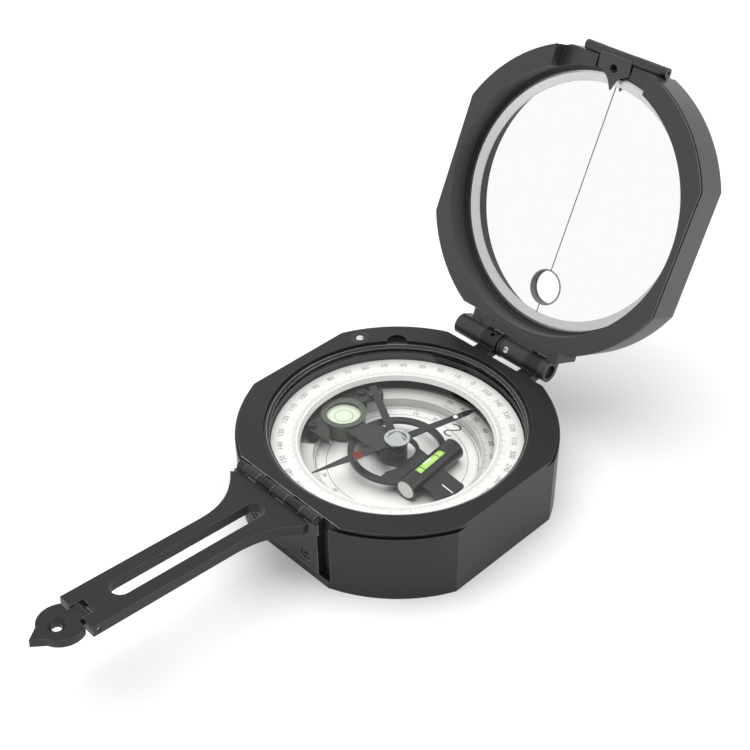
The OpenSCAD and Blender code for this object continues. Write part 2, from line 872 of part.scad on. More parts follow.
module needle_south() color([0.42, 0.42, 0.42])
    on_needle()
        rotate([0, 0, 180])
            translate([0, 0, needle_z])
                linear_extrude(needle_t)
                    polygon([
                        [-needle_w / 2, 2.6], [needle_w / 2, 2.6],
                        [needle_w / 2, needle_reach * 0.55], [0.1, needle_reach],
                        [-0.1, needle_reach], [-needle_w / 2, needle_reach * 0.55]
                    ]);

module needle_hub() color([0.07, 0.07, 0.07])
    on_needle()
        difference() {
            translate([0, 0, needle_z])
                cylinder(r = 2.9, h = hub_top - needle_z);
            translate([0, 0, needle_z - 1])
                cylinder(r = pivot_r + run_fit + 0.03, h = far);
            // slot that takes the blades
            for (s = [0, 180])
                rotate([0, 0, s])
                    translate([-needle_w / 2, 2.6, needle_z - eps])
                        cube([needle_w, 1, needle_t + eps]);
        }

module needle_cap() color([0.8, 0.81, 0.82])
    translate([0, 0, hub_top])
        difference() {
            union() {
                cylinder(r = cap_r, h = cap_flange_t);
                // low dome
                translate([0, 0, cap_flange_t])
                    intersection() {
                        translate([0, 0, -2.4])
                            sphere(r = 3.4);
                        cylinder(r = 2.4, h = cap_dome_h);
                    }
            }
            translate([0, 0, -1])
                cylinder(r = 0.9, h = 1.9);
        }

module cap_jewel() color([0.75, 0.15, 0.25])
    translate([0, 0, hub_top])
        difference() {
            cylinder(r = 0.88, h = 0.9);
            translate([0, 0, -1])
                cylinder(r = pivot_r + run_fit + 0.03, h = 1 + pivot_top - hub_top + 0.1);
        }

module balance_coil() color([0.72, 0.38, 0.24])
    on_needle()
        rotate([0, 0, 180])
            translate([0, needle_reach * 0.48, needle_z + needle_t / 2])
                rotate([90, 0, 0])
                    difference() {
                        translate([-needle_w / 2 - 0.25, -needle_t / 2 - 0.25, -1])
                            cube([needle_w + 0.5, needle_t + 0.5, 2]);
                        translate([-needle_w / 2, -needle_t / 2, -2])
                            cube([needle_w, needle_t, 4]);
                    }

module needle_dot() color([0.95, 0.95, 0.9])
    on_needle()
        translate([0, needle_reach * 0.72, needle_z])
            cylinder(r = 0.6, h = needle_t + 0.1);

module lift_pin() color([0.82, 0.82, 0.83])
    at_lift() {
        translate([0, 0, lift_foot_z])
            cylinder(r = lift_pin_r, h = case_h - 0.6 - lift_foot_z);
        // domed button
        translate([0, 0, case_h - 0.6])
            intersection() {
                cylinder(r = lift_pin_r, h = 0.6 + lift_proud);
                translate([0, 0, 0.6 + lift_proud - 1.6])
                    sphere(r = 1.6);
            }
    }

module lift_spring() color([0.6, 0.6, 0.62])
    at_lift()
        translate([0, 0, spring_z])
            tube(spring_r, spring_bore_r, lever_low_z - spring_z - 0.02);

module lift_lever() color([0.1, 0.1, 0.1])
    rotate([0, 0, lift_angle])
        difference() {
            union() {
                translate([0, 0, lever_z])
                    cylinder(r = 2.4, h = lever_t);
                translate([0, -lever_w / 2, lever_z])
                    cube([lever_step_r, lever_w, lever_t]);
                translate([lever_step_r - 0.4, -lever_w / 2, lever_low_z])
                    cube([0.8, lever_w, lever_z + lever_t - lever_low_z]);
                translate([lever_step_r - 0.4, -lever_w / 2, lever_low_z])
                    cube([lift_reach + 0.6 - lever_step_r + 0.4, lever_w, lever_low_t]);
                translate([fulcrum_reach, 0, fulcrum_z])
                    rotate([90, 0, 0])
                        cylinder(r = fulcrum_r, h = lever_w, center = true);
            }
            translate([0, 0, lever_z - 1])
                cylinder(r = 1.1, h = 3);
            translate([fulcrum_reach, 0, fulcrum_z])
                rotate([90, 0, 0])
                    cylinder(r = fulcrum_pin_r + run_fit, h = far, center = true);
        }

module lid_shell() color([0.2, 0.2, 0.21])
    on_lid()
        difference() {
            translate([0, 0, lid_z])
                cut_disc(lid_r, lid_t, lid_side_flat, lid_peep_flat, lid_hinge_flat);
            // step between the rim face and the outer wall
            translate([0, 0, lid_z + 0.5])
                difference() {
                    cut_disc(lid_r + 1, 0.7, lid_side_flat + 1, lid_peep_flat + 1, lid_hinge_flat + 1);
                    translate([0, 0, -1])
                        cut_disc(lid_r - 0.6, 3, lid_side_flat - 0.6, lid_peep_flat - 0.6,
                                 lid_hinge_flat - 0.6);
                }
            translate([0, 0, lid_z - 1])
                cylinder(r = lid_bore_r, h = mirror_z - mirror_ring_h - lid_z + 1);
            translate([0, 0, lid_z])
                cylinder(r = mirror_r + set_fit, h = mirror_z + mirror_t - lid_z);
            translate([0, window_y, 0])
                cylinder(r = window_r, h = far);
            // room for the folded sight arm and its hinge
            translate([recess_x[0], -far, lid_z - 1])
                cube([recess_x[1] - recess_x[0], far - lid_bore_r + 6, recess_z - lid_z + 1]);
            // deeper notch under the peep sight
            translate([-peep_notch_x, -far, lid_z - 1])
                cube([2 * peep_notch_x, far - lid_bore_r + 6, peep_notch_z - lid_z + 1]);
            // tapped holes of the hinge leaf
            for (x = leaf_screw_x)
                translate([x, lid_hinge_flat - 0.75, lid_z + 6.5])
                    rotate([-90, 0, 0])
                        cylinder(r = 0.7, h = 5);
        }

module mirror() color([0.92, 0.94, 0.96])
    on_lid()
        difference() {
            translate([0, 0, mirror_z])
                cylinder(r = mirror_r, h = mirror_t);
            translate([0, window_y, 0])
                cylinder(r = window_r, h = far);
            // engraved sighting line
            translate([-0.15, -far, mirror_z - 1])
                cube([0.3, 2 * far, 1.1]);
        }

module mirror_ring() color([0.75, 0.76, 0.77])
    on_lid()
        translate([0, 0, mirror_z - mirror_ring_h])
            rotate_extrude($fn = 180)
                polygon([
                    [mirror_view_r, mirror_ring_h], [mirror_r, mirror_ring_h], [mirror_r, 0],
                    [mirror_r - 0.6, 0], [mirror_view_r, mirror_ring_h - 0.3]
                ]);

module lid_hinge_leaf() color([0.1, 0.1, 0.1])
    on_lid()
        difference() {
            union() {
                translate([leaf_x[0], lid_hinge_flat, lid_z])
                    cube([leaf_x[1] - leaf_x[0], leaf_t, leaf_h]);
                for (k = lid_knuckles) {
                    translate([k[0], lid_hinge_flat + leaf_t - eps, hinge_z])
                        cube([k[1] - k[0], hinge_y - lid_hinge_flat - leaf_t + eps, barrel_r]);
                    translate([0, hinge_y, hinge_z])
                        rod_x(k, barrel_r);
                }
            }
            for (k = case_knuckles)
                translate([0, hinge_y, hinge_z])
                    rod_x([k[0] - face_gap / 2, k[1] + face_gap / 2], barrel_r + face_gap);
            // room for the washers
            translate([0, hinge_y, hinge_z])
                rod_x([case_knuckles[0][1], lid_knuckles[1][0]], barrel_r + face_gap);
            translate([0, hinge_y, hinge_z])
                rod_x([-far, far], hinge_pin_r + 0.01);
            // socket in the end of the barrel
            translate([0, hinge_y, hinge_z])
                rod_x([lid_knuckles[2][1] - socket_deep, far], socket_r);
            // seam round the long knuckle
            translate([0, hinge_y, hinge_z])
                difference() {
                    rod_x([barrel_seam_x, barrel_seam_x + 0.25], barrel_r + 1);
                    rod_x([barrel_seam_x - 1, barrel_seam_x + 1], barrel_r - 0.2);
                }
            for (x = leaf_screw_x)
                translate([x, lid_hinge_flat - 1, lid_z + 6.5])
                    rotate([-90, 0, 0]) {
                        cylinder(r = 0.8, h = far);
                        translate([0, 0, leaf_t + 0.3])
                            cylinder(r = 1.5, h = far);
                    }
            // hole of the pin's grub screw
            translate([grub_x, hinge_y, hinge_z])
                rotate([grub_angle, 0, 0])
                    cylinder(r = 0.9, h = far);
        }

module leaf_screws() color([0.55, 0.55, 0.56])
    on_lid() {
        for (x = leaf_screw_x)
            translate([x, lid_hinge_flat + leaf_t, lid_z + 6.5])
                rotate([-90, 0, 0]) {
                    slotted_head(1.4, 0.65, 0.35);
                    translate([0, 0, -leaf_t - 0.7])
                        cylinder(r = 0.65, h = leaf_t + 0.1);
                }
        // grub screw that holds the hinge pin
        translate([grub_x, hinge_y, hinge_z])
            rotate([grub_angle, 0, 0])
                translate([0, 0, barrel_r - 0.3])
                    slotted_head(0.85, barrel_r - 0.35 - hinge_pin_r, 0.3);
    }

module lid_hinge_pin() color([0.5, 0.5, 0.51])
    on_lid()
        translate([0, hinge_y, hinge_z])
            rod_x([lid_knuckles[0][0] + 0.4, lid_knuckles[2][1] - socket_deep - 0.1], hinge_pin_r);

// dark washers that hold the lid at any angle by their friction
module hinge_washers() color([0.06, 0.06, 0.06])
    on_lid()
        translate([0, hinge_y, hinge_z])
            difference() {
                union() {
                    rod_x(washer_x, barrel_r - 0.45);
                    rod_x([washer_x[0], washer_x[0] + 0.5], barrel_r + 0.15);
                    rod_x([washer_x[1] - 0.5, washer_x[1]], barrel_r + 0.15);
                }
                rod_x([-far, far], hinge_pin_r + 0.01);
            }

module peep_hinge_block() color([0.2, 0.2, 0.21])
    on_lid()
        difference() {
            union()
                for (e = peep_ears) {
                    translate([0, -peep_axis_y, peep_axis_z])
                        rod_x(e, peep_knuckle_r);
                    translate([e[0], -peep_axis_y, peep_axis_z])
                        cube([e[1] - e[0], peep_axis_y - lid_peep_flat, peep_knuckle_r]);
                }
            translate([0, -peep_axis_y, peep_axis_z])
                rod_x([-far, far], peep_pin_r);
        }

module peep_pin() color([0.6, 0.6, 0.6])
    on_lid()
        translate([0, -peep_axis_y, peep_axis_z])
            rod_x([peep_ears[0][0] + 0.4, peep_ears[1][1] - 0.4], peep_pin_r);

// folded into the lid, its point leaning towards the mirror
module peep_sight() color([0.24, 0.24, 0.25])
    on_lid()
        translate([0, -peep_axis_y, peep_axis_z])
            rotate([peep_lean, 0, 0])
                difference() {
                    union() {
                        rod_x([-peep_w / 2, peep_w / 2], peep_knuckle_r - 0.05);
                        translate([0, 0, -peep_knuckle_r])
                            linear_extrude(peep_t)
                                polygon([
                                    [-peep_w / 2, 0], [peep_w / 2, 0],
                                    [peep_w / 2, peep_reach * 0.44], [2, peep_reach * 0.6],
                                    [1, peep_reach * 0.74], [0, peep_reach],
                                    [-1, peep_reach * 0.74], [-2, peep_reach * 0.6],
                                    [-peep_w / 2, peep_reach * 0.44]
                                ]);
                    }
                    rod_x([-far, far], peep_pin_r + run_fit);
                    translate([0, peep_reach * 0.37, -far / 2])
                        cylinder(r = peep_hole_r, h = far);
                }

// outline of the arm: shoulders, a curved flare and a straight stretch
module arm_outline() {
    flare_y = arm_hinge_y + flare_len;
    root_y = arm_hinge_y + 1.6;
    left = arm_x - arm_w / 2;
    right = arm_x + arm_w / 2;
    steps = 12;
    polygon(concat(
        [[right, -tip_y - tip_end]],
        [for (i = [0:steps])
            let (t = i / steps)
            [right + (arm_root_right - right) * pow(t, 2.6),
             -flare_y + (flare_y - root_y - 1.6) * t]],
        [[arm_root_right, -root_y], [arm_root_left + 1.4, -root_y]],
        [for (i = [steps:-1:0])
            let (t = i / steps)
            [left + (arm_root_left - left) * pow(t, 2.6),
             -flare_y + (flare_y - root_y - 1.6) * t]],
        [[left, -tip_y - tip_end]]
    ));
}

// fingers between the case's tabs, and one at the left end
function arm_fingers() = [
    [arm_root_left, tab_x(0) - tab_w / 2 - 0.12],
    [tab_x(0) + tab_w / 2 + 0.12, tab_x(1) - tab_w / 2 - 0.12],
    [tab_x(1) + tab_w / 2 + 0.12, tab_x(2) - tab_w / 2 - 0.12]
];

module sight_arm() color([0.15, 0.15, 0.16])
    on_arm()
        difference() {
            union() {
                translate([0, 0, arm_bottom])
                    linear_extrude(arm_t)
                        arm_outline();
                for (f = arm_fingers()) {
                    translate([0, -arm_hinge_y, arm_hinge_z])
                        rod_x(f, arm_knuckle_r);
                    translate([f[0], -arm_hinge_y - 2, arm_hinge_z - arm_knuckle_r])
                        cube([f[1] - f[0], 2, arm_top - arm_hinge_z + arm_knuckle_r]);
                }
            }
            // sighting slot, round at both ends
            for (y = [-slot_end, -slot_end + slot_len - slot_w])
                translate([arm_x, y + slot_w / 2, 0])
                    cylinder(r = slot_w / 2, h = far);
            translate([arm_x - slot_w / 2, -slot_end + slot_w / 2, 0])
                cube([slot_w, slot_len - slot_w, far]);
            translate([0, -arm_hinge_y, arm_hinge_z])
                rod_x([-far, far], arm_pin_r + 0.01);
            translate([0, -tip_y, tip_z])
                rod_x([-far, far], tip_pin_r + 0.01);
            // room for the tip sight's knuckle
            translate([arm_x - tip_knuckle_w / 2 - 0.1, -tip_y - 5, 0])
                cube([tip_knuckle_w + 0.2, 5 + tip_knuckle_r + 0.4, far]);
            // root clears the case's tabs and hinge plate
            for (i = [0:2])
                translate([tab_x(i) - tab_w / 2 - 0.12, -arm_hinge_y - arm_knuckle_r - 0.35, 0])
                    cube([tab_w + 0.24, 6, far]);
        }

module arm_hinge_pin() color([0.6, 0.6, 0.6])
    on_arm()
        translate([0, -arm_hinge_y, arm_hinge_z])
            rod_x(arm_pin_x, arm_pin_r);

module tip_sight() color([0.15, 0.15, 0.16])
    on_arm()
        translate([arm_x, -tip_y, tip_z])
            difference() {
                union() {
                    rod_x([-tip_knuckle_w / 2, tip_knuckle_w / 2], tip_knuckle_r);
                    translate([-tip_knuckle_w / 2, -tip_gap - 0.4, -tip_t / 2])
                        cube([tip_knuckle_w, tip_gap + 0.4, tip_t]);
                    translate([0, 0, -tip_t / 2])
                        linear_extrude(tip_t)
                            difference() {
                                union() {
                                    translate([0, -tip_disc_y])
                                        circle(r = tip_disc_r);
                                    polygon([
                                        [0, -tip_reach], [2.4, -tip_disc_y - 4.5],
                                        [-2.4, -tip_disc_y - 4.5]
                                    ]);
                                }
                                // straight edge beside the hinge
                                translate([-far / 2, -tip_gap])
                                    square([far, far]);
                            }
                }
                rod_x([-far, far], tip_pin_r + run_fit);
                translate([0, -tip_hole_y, -far / 2])
                    cylinder(r = tip_hole_r, h = far);
                // countersink
                translate([0, -tip_hole_y, tip_t / 2 - 0.8])
                    cylinder(r1 = tip_hole_r, r2 = tip_hole_r + 1, h = 0.81);
            }

module tip_pin() color([0.7, 0.7, 0.7])
    on_arm()
        translate([0, -tip_y, tip_z])
            rod_x([arm_x - arm_w / 2 + 0.3, arm_x + arm_w / 2 - 0.3], tip_pin_r);

case_shell();
base_cover();
base_screws();
arm_hinge_plate();
hinge_plate_screws();
inner_dial();
clinometer_scale();
level_bracket();
bracket_screws();
pivot_pin();
level_cup();
level_bezel();
level_lens();
level_liquid();
cover_glass();
glass_gasket();
glass_ring();
lift_bush();
fulcrum_pin();
azimuth_ring();
ring_gear();
declination_pinion();
declination_screw();
clinometer_plate();
clinometer_shaft();
clinometer_lever();
index_plate();
tube_sleeve();
tube_vial();
tube_plugs();
needle_north();
needle_south();
needle_hub();
needle_cap();
cap_jewel();
balance_coil();
needle_dot();
lift_pin();
lift_spring();
lift_lever();
lid_shell();
mirror();
mirror_ring();
lid_hinge_leaf();
leaf_screws();
lid_hinge_pin();
hinge_washers();
peep_hinge_block();
peep_pin();
peep_sight();
sight_arm();
arm_hinge_pin();
tip_sight();
tip_pin();
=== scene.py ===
# %% [markdown]
# # A pocket transit compass, dressed for its photograph
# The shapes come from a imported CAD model, which is loaded as a fixed frame. This lesson gives
# every part its finish, adds the small things that a CAD model leaves out, such as the printed
# dials, the wound copper wire and the bubbles, and sets up a studio like the photograph's.

# %% Load the frame
import json
import math

import bpy
import bmesh
from mathutils import Matrix, Vector
from mathutils.geometry import tessellate_polygon


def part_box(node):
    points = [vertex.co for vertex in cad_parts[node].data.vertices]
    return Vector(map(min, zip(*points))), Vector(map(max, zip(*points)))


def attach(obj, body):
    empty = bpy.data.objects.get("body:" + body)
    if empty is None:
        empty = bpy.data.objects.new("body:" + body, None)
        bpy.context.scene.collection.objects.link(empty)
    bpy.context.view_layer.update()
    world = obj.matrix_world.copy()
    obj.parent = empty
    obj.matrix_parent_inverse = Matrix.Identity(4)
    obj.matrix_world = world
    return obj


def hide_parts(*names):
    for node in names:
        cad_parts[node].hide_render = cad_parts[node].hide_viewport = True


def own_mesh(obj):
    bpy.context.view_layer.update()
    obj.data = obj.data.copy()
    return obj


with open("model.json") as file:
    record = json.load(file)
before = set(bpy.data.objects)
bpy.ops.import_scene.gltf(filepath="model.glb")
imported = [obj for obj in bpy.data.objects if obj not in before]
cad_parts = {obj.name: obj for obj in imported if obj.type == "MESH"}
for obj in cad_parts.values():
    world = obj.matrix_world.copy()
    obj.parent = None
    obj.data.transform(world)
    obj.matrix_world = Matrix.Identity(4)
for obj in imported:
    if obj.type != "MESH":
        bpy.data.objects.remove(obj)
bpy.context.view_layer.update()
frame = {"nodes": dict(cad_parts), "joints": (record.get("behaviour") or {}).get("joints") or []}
nodes = frame["nodes"]

# %% [markdown]
# ## Places of the moving parts
# The lid is swung open, and the clinometer and the needle are turned. Drawing each added piece
# in its part's own level position and moving it by one matrix is simpler than drawing it at a
# slant. All drawing is in millimetres and is scaled at the end. The lid's hinge, the tops of the
# printed dials and the needle's height are read from the frame.

# %% Matrices from each part's own position to its place at rest
mm = 0.001
lid_open, clinometer_turn, needle_turn = -114, -5, -14.7
round_level_reach, round_level_angle = 18.5, 183


def turned(degrees, axis, about=(0, 0, 0)):
    """A turn round an axis through a point."""
    there = Matrix.Translation(Vector(about))
    return there @ Matrix.Rotation(math.radians(degrees), 4, axis) @ there.inverted()


def polar(radius, degrees, height=0.0):
    """A point at a radius and an angle round the dial's centre."""
    angle = math.radians(degrees)
    return Vector((radius * math.cos(angle), radius * math.sin(angle), height))


def top_of(name):
    """The greatest height of a CAD node, in millimetres."""
    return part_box(name)[1].z / mm


lid_hinge = next(joint for joint in frame["joints"] if joint["name"] == "lid_hinge")
at_case = Matrix.Identity(4)
at_lid = turned(lid_open, "X", [v / mm for v in lid_hinge["pos_m"]])
at_clinometer = turned(clinometer_turn, "Z")
at_needle = turned(needle_turn, "Z")
at_round_level = Matrix.Translation(polar(round_level_reach, round_level_angle))
print("the lid turns about", lid_hinge["pos_m"])

# %% [markdown]
# ## Camera
# The camera was found from the photograph by matching the corners of the case and the lid with
# the CAD model: where it stands, where it looks, a small roll and the focal length. The picture
# is square, 750 by 750 pixels.

# %% Camera at the photograph's viewpoint
camera_azimuth, camera_elevation, camera_roll = 46.255, 38.325, -0.872
camera_distance, camera_target = 370.152, Vector((-34.823, 26.038, 0.7))
focal_length, sensor_width = 63.125, 36
nearest_seen, farthest_seen = 0.01, 20
azimuth, elevation = math.radians(camera_azimuth), math.radians(camera_elevation)
back = Vector((math.sin(azimuth) * math.cos(elevation),
               -math.cos(azimuth) * math.cos(elevation), math.sin(elevation)))
camera_data = bpy.data.cameras.new("camera")
camera_data.lens = focal_length
camera_data.sensor_width = sensor_width
camera_data.clip_start = nearest_seen
camera_data.clip_end = farthest_seen
camera = bpy.data.objects.new("camera", camera_data)
bpy.context.scene.collection.objects.link(camera)
camera.rotation_mode = "QUATERNION"
camera.location = (camera_target + back * camera_distance) * mm
roll = Matrix.Rotation(math.radians(camera_roll), 4, "Z")
camera.rotation_quaternion = (
    (-back).to_track_quat("-Z", "Y").to_matrix().to_4x4() @ roll).to_quaternion()
bpy.context.scene.camera = camera
print("camera at", [round(v, 4) for v in camera.location])

# %% [markdown]
# ## Studio
# The object stands on a plain white table. A very soft light comes from above, a low lamp faces
# the open lid, another stands at the right, and a pale surrounding fills the shadows. The table
# glows a little for the camera, for mirrors and through glass, so that it looks white and still
# takes the object's shadow.

# %% Helpers for node trees
def new_tree(owner):
    owner.use_nodes = True
    owner.node_tree.nodes.clear()
    return owner.node_tree


def add_node(tree, kind, inputs=None, **settings):
    """A new node, with its settings, its inputs set and other nodes' outputs joined to them."""
    made = tree.nodes.new(kind)
    for key, value in settings.items():
        setattr(made, key, value)
    for key, value in (inputs or {}).items():
        if isinstance(value, bpy.types.NodeSocket):
            tree.links.new(value, made.inputs[key])
        else:
            made.inputs[key].default_value = value
    return made


def seen_directly(tree):
    """1 for rays from the camera, off mirrors and through glass, otherwise 0."""
    path = add_node(tree, "ShaderNodeLightPath")
    gloss = add_node(tree, "ShaderNodeMath", {0: path.outputs["Is Camera Ray"],
                     1: path.outputs["Is Glossy Ray"]}, operation="MAXIMUM")
    return add_node(tree, "ShaderNodeMath", {0: gloss.outputs[0],
                    1: path.outputs["Is Transmission Ray"]}, operation="MAXIMUM").outputs[0]


# %% World
white = (1, 1, 1, 1)
fill_strength, shown_strength = 0.34, 1.02
scene = bpy.context.scene
scene.view_settings.view_transform = "Standard"
world = bpy.data.worlds.new("studio")
scene.world = world
tree = new_tree(world)
fill = add_node(tree, "ShaderNodeBackground", {"Color": white, "Strength": fill_strength})
shown = add_node(tree, "ShaderNodeBackground", {"Color": white, "Strength": shown_strength})
either = add_node(tree, "ShaderNodeMixShader", {0: seen_directly(tree), 1: fill.outputs[0],
                  2: shown.outputs[0]})
add_node(tree, "ShaderNodeOutputWorld", {0: either.outputs[0]})
print("world made")

# %% Table
table_white, table_glow, table_half = (0.76, 0.76, 0.76, 1), 0.1, 5
table_paper = bpy.data.materials.new("white_table")
tree = new_tree(table_paper)
paper = add_node(tree, "ShaderNodeBsdfPrincipled", {"Base Color": table_white,
                 "Roughness": 0.7, "Specular IOR Level": 0.2})
glow = add_node(tree, "ShaderNodeEmission", {"Color": white, "Strength": table_glow})
both = add_node(tree, "ShaderNodeAddShader", {0: paper.outputs[0], 1: glow.outputs[0]})
mixed = add_node(tree, "ShaderNodeMixShader", {0: seen_directly(tree), 1: paper.outputs[0],
                 2: both.outputs[0]})
add_node(tree, "ShaderNodeOutputMaterial", {0: mixed.outputs[0]})
table_mesh = bpy.data.meshes.new("table")
table_corners = [(-table_half, -table_half, 0), (table_half, -table_half, 0),
                 (table_half, table_half, 0), (-table_half, table_half, 0)]
table_mesh.from_pydata(table_corners, [], [(0, 1, 2, 3)])
table = bpy.data.objects.new("table", table_mesh)
scene.collection.objects.link(table)
table_mesh.materials.append(table_paper)
print("table made")


# %% Lamps
def lamp_object(data):
    lamp = bpy.data.objects.new(data.name, data)
    scene.collection.objects.link(lamp)
    lamp.rotation_mode = "QUATERNION"
    return lamp


def soft_lamp(name, place, aim, size, watts):
    """A rectangular lamp at a place, facing its aim, all in metres."""
    data = bpy.data.lights.new(name, "AREA")
    data.shape = "RECTANGLE"
    data.size, data.size_y = size
    data.energy = watts
    lamp = lamp_object(data)
    lamp.location = place
    lamp.rotation_quaternion = (Vector(aim) - Vector(place)).to_track_quat("-Z", "Y")
    return lamp


sun_strength, sun_spread, sun_direction = 3.1, 70, Vector((0.10, 0.0, -0.60))
sun_data = bpy.data.lights.new("overhead_left", "SUN")
sun_data.energy, sun_data.angle = sun_strength, math.radians(sun_spread)
sun = lamp_object(sun_data)
sun.rotation_quaternion = sun_direction.to_track_quat("-Z", "Y")
lid_lamp = soft_lamp("front_of_lid", place=(-0.36, -0.46, 0.10), aim=(0, 0.06, 0.06),
                     size=(0.34, 0.22), watts=2.0)
soft_lamp("right_side", place=(0.7, 0.35, 0.35), aim=(0, 0, 0.02), size=(0.4, 0.4), watts=2.2)
# the mirror would show these two as bright patches
for lamp in (lid_lamp, sun):
    lamp.visible_glossy = False

# %% [markdown]
# ## Finishes
# Most of the compass is cast or milled metal under satin black paint. Such paint has a fine
# orange-peel grain and small changes of sheen. Its edges are lighter, partly from wear and
# partly as a painted highlight where they would catch the light. All of that comes from noise
# and from rounded normals at the edges, so it needs no pictures.

# %% One maker of metal, paint and plastic finishes
cloud_scale, bump_depth, bump_gain = 260.0, 0.04 * mm, 20
wear_highlight_from, wear_highlight_to = 0.80, 0.97
sheen_spread = 0.15


def finish(name, colour, roughness, metallic=0.0, grain=0.0, grain_size=0.25, mottle=0.12,
           edge=None, round_edge=0.15, coat=0.0, streaks=None, shine=0.5):
    """
    A finish: grain is how strong the fine bumps are and grain_size how wide, in mm. mottle is
    the share by which the colour changes, edge the lighter colour of the edges, which stands
    for wear and is also a painted highlight, and round_edge the radius, in mm, to which edges
    look rounded. streaks stretches the noise along the axes.
    """
    made = bpy.data.materials.new(name)
    tree = new_tree(made)
    where = add_node(tree, "ShaderNodeTexCoord").outputs["Object"]
    if streaks:
        where = add_node(tree, "ShaderNodeMapping", {"Vector": where, "Scale": streaks}).outputs[0]
    clouds = add_node(tree, "ShaderNodeTexNoise", {"Vector": where, "Scale": cloud_scale,
                      "Detail": 5.0})
    fine = add_node(tree, "ShaderNodeTexNoise", {"Vector": where, "Scale": 1 / (grain_size * mm),
                    "Detail": 3.0})
    low = tuple(c * (1 - mottle) for c in colour) + (1,)
    high = tuple(min(1, c * (1 + mottle)) for c in colour) + (1,)
    body = add_node(tree, "ShaderNodeMix", {0: clouds.outputs["Fac"], 6: low, 7: high},
                    data_type="RGBA").outputs[2]
    soft = add_node(tree, "ShaderNodeBevel", {"Radius": round_edge * mm}, samples=6)
    # edges are lightened: partly wear, partly a painted highlight where light would catch them
    if edge:
        surface = add_node(tree, "ShaderNodeNewGeometry")
        same = add_node(tree, "ShaderNodeVectorMath", {0: soft.outputs[0],
                        1: surface.outputs["True Normal"]}, operation="DOT_PRODUCT")
        wear_and_highlight = add_node(tree, "ShaderNodeMapRange", {"Value": same.outputs["Value"],
                        "From Min": wear_highlight_from, "From Max": wear_highlight_to, "To Min": 1.0, "To Max": 0.0})
        broken = add_node(tree, "ShaderNodeMapRange", {"Value": clouds.outputs["Fac"],
                          "From Min": 0.3, "From Max": 0.6, "To Min": 0.35, "To Max": 1.0})
        share = add_node(tree, "ShaderNodeMath", {0: wear_and_highlight.outputs[0], 1: broken.outputs[0]},
                         operation="MULTIPLY")
        body = add_node(tree, "ShaderNodeMix", {0: share.outputs[0], 6: body, 7: edge + (1,)},
                        data_type="RGBA").outputs[2]
    sheen = add_node(tree, "ShaderNodeMapRange", {"Value": fine.outputs["Fac"],
                     "To Min": roughness * (1 - sheen_spread),
                     "To Max": min(1, roughness * (1 + sheen_spread))})
    bump = add_node(tree, "ShaderNodeBump", {"Height": fine.outputs["Fac"],
                    "Normal": soft.outputs[0], "Strength": min(1, grain * bump_gain),
                    "Distance": bump_depth})
    shader = add_node(tree, "ShaderNodeBsdfPrincipled", {"Base Color": body,
                      "Roughness": sheen.outputs[0], "Metallic": metallic,
                      "Coat Weight": coat, "Specular IOR Level": shine,
                      "Normal": bump.outputs[0]})
    add_node(tree, "ShaderNodeOutputMaterial", {0: shader.outputs[0]})
    return made


def dress(material, *names):
    """Gives CAD nodes this finish."""
    for name in names:
        for place in nodes[name].material_slots:
            place.material = material
    print(material.name, "on", ", ".join(names))


# %% [markdown]
# ### Satin black paint
# The case, the sight arm and the tip sight share one paint. The lid has a lighter copy of the
# same paint, a painted light for the lamp that faces the lid. Both are nearly black, with a satin
# sheen that turns them to charcoal where they face the light. The blackened fittings have brighter
# edges, partly wear and partly a painted highlight.

# %% Paint on the castings, darker finish on the fittings
case_paint = finish("satin_black_paint", (0.0052, 0.0053, 0.0056), 0.4, grain=0.045,
                    grain_size=0.35, edge=(0.13, 0.13, 0.135), round_edge=0.22, shine=0.42)
dress(case_paint, "case_shell", "sight_arm", "tip_sight")
# the same paint made lighter on the lid: painted light
lit_lid_paint = finish("satin_black_paint_lightened_for_lid", (0.029, 0.0283, 0.029), 0.36, grain=0.03,
                   grain_size=0.35, edge=(0.12, 0.12, 0.125), round_edge=0.22, shine=0.42)
dress(lit_lid_paint, "lid_shell")
cover_paint = finish("base_cover_paint", (0.02, 0.02, 0.022), 0.5, grain=0.05, grain_size=0.5,
                     edge=(0.12, 0.12, 0.12))
dress(cover_paint, "base_cover", "clinometer_lever")
hinge_black = finish("blackened_hinge_metal", (0.026, 0.026, 0.027), 0.34, metallic=0.2,
                     grain=0.012, grain_size=0.6, edge=(0.26, 0.26, 0.26), round_edge=0.16)
dress(hinge_black, "lid_hinge_leaf", "peep_hinge_block", "peep_sight")
# the hinge plate's tabs get bright edges, a painted highlight
hinge_plate_black = finish("hinge_plate_with_bright_painted_edges", (0.016, 0.016, 0.017), 0.36, grain=0.012,
                    grain_size=0.6, edge=(0.55, 0.54, 0.52), round_edge=0.2, shine=0.4)
dress(hinge_plate_black, "arm_hinge_plate")
washer_black = finish("black_friction_washer", (0.012, 0.012, 0.012), 0.55, grain=0.03)
dress(washer_black, "hinge_washers", "glass_gasket")

# %% [markdown]
# ### Bright metal
# The mirror's ring, the pins and most screws are bare turned metal, and the lift pin is nickel
# plated. The ring of the cover glass is blackened, and its edges carry a painted highlight. The
# sheen of a turned ring is brushed round the axis of the lathe, so its noise is stretched.

# %% Bright finishes
ring_metal = finish("turned_ring_metal", (0.54, 0.55, 0.55), 0.24, metallic=1.0, grain=0.004,
                    mottle=0.05, streaks=(1, 1, 8), round_edge=0.1)
dress(ring_metal, "mirror_ring")
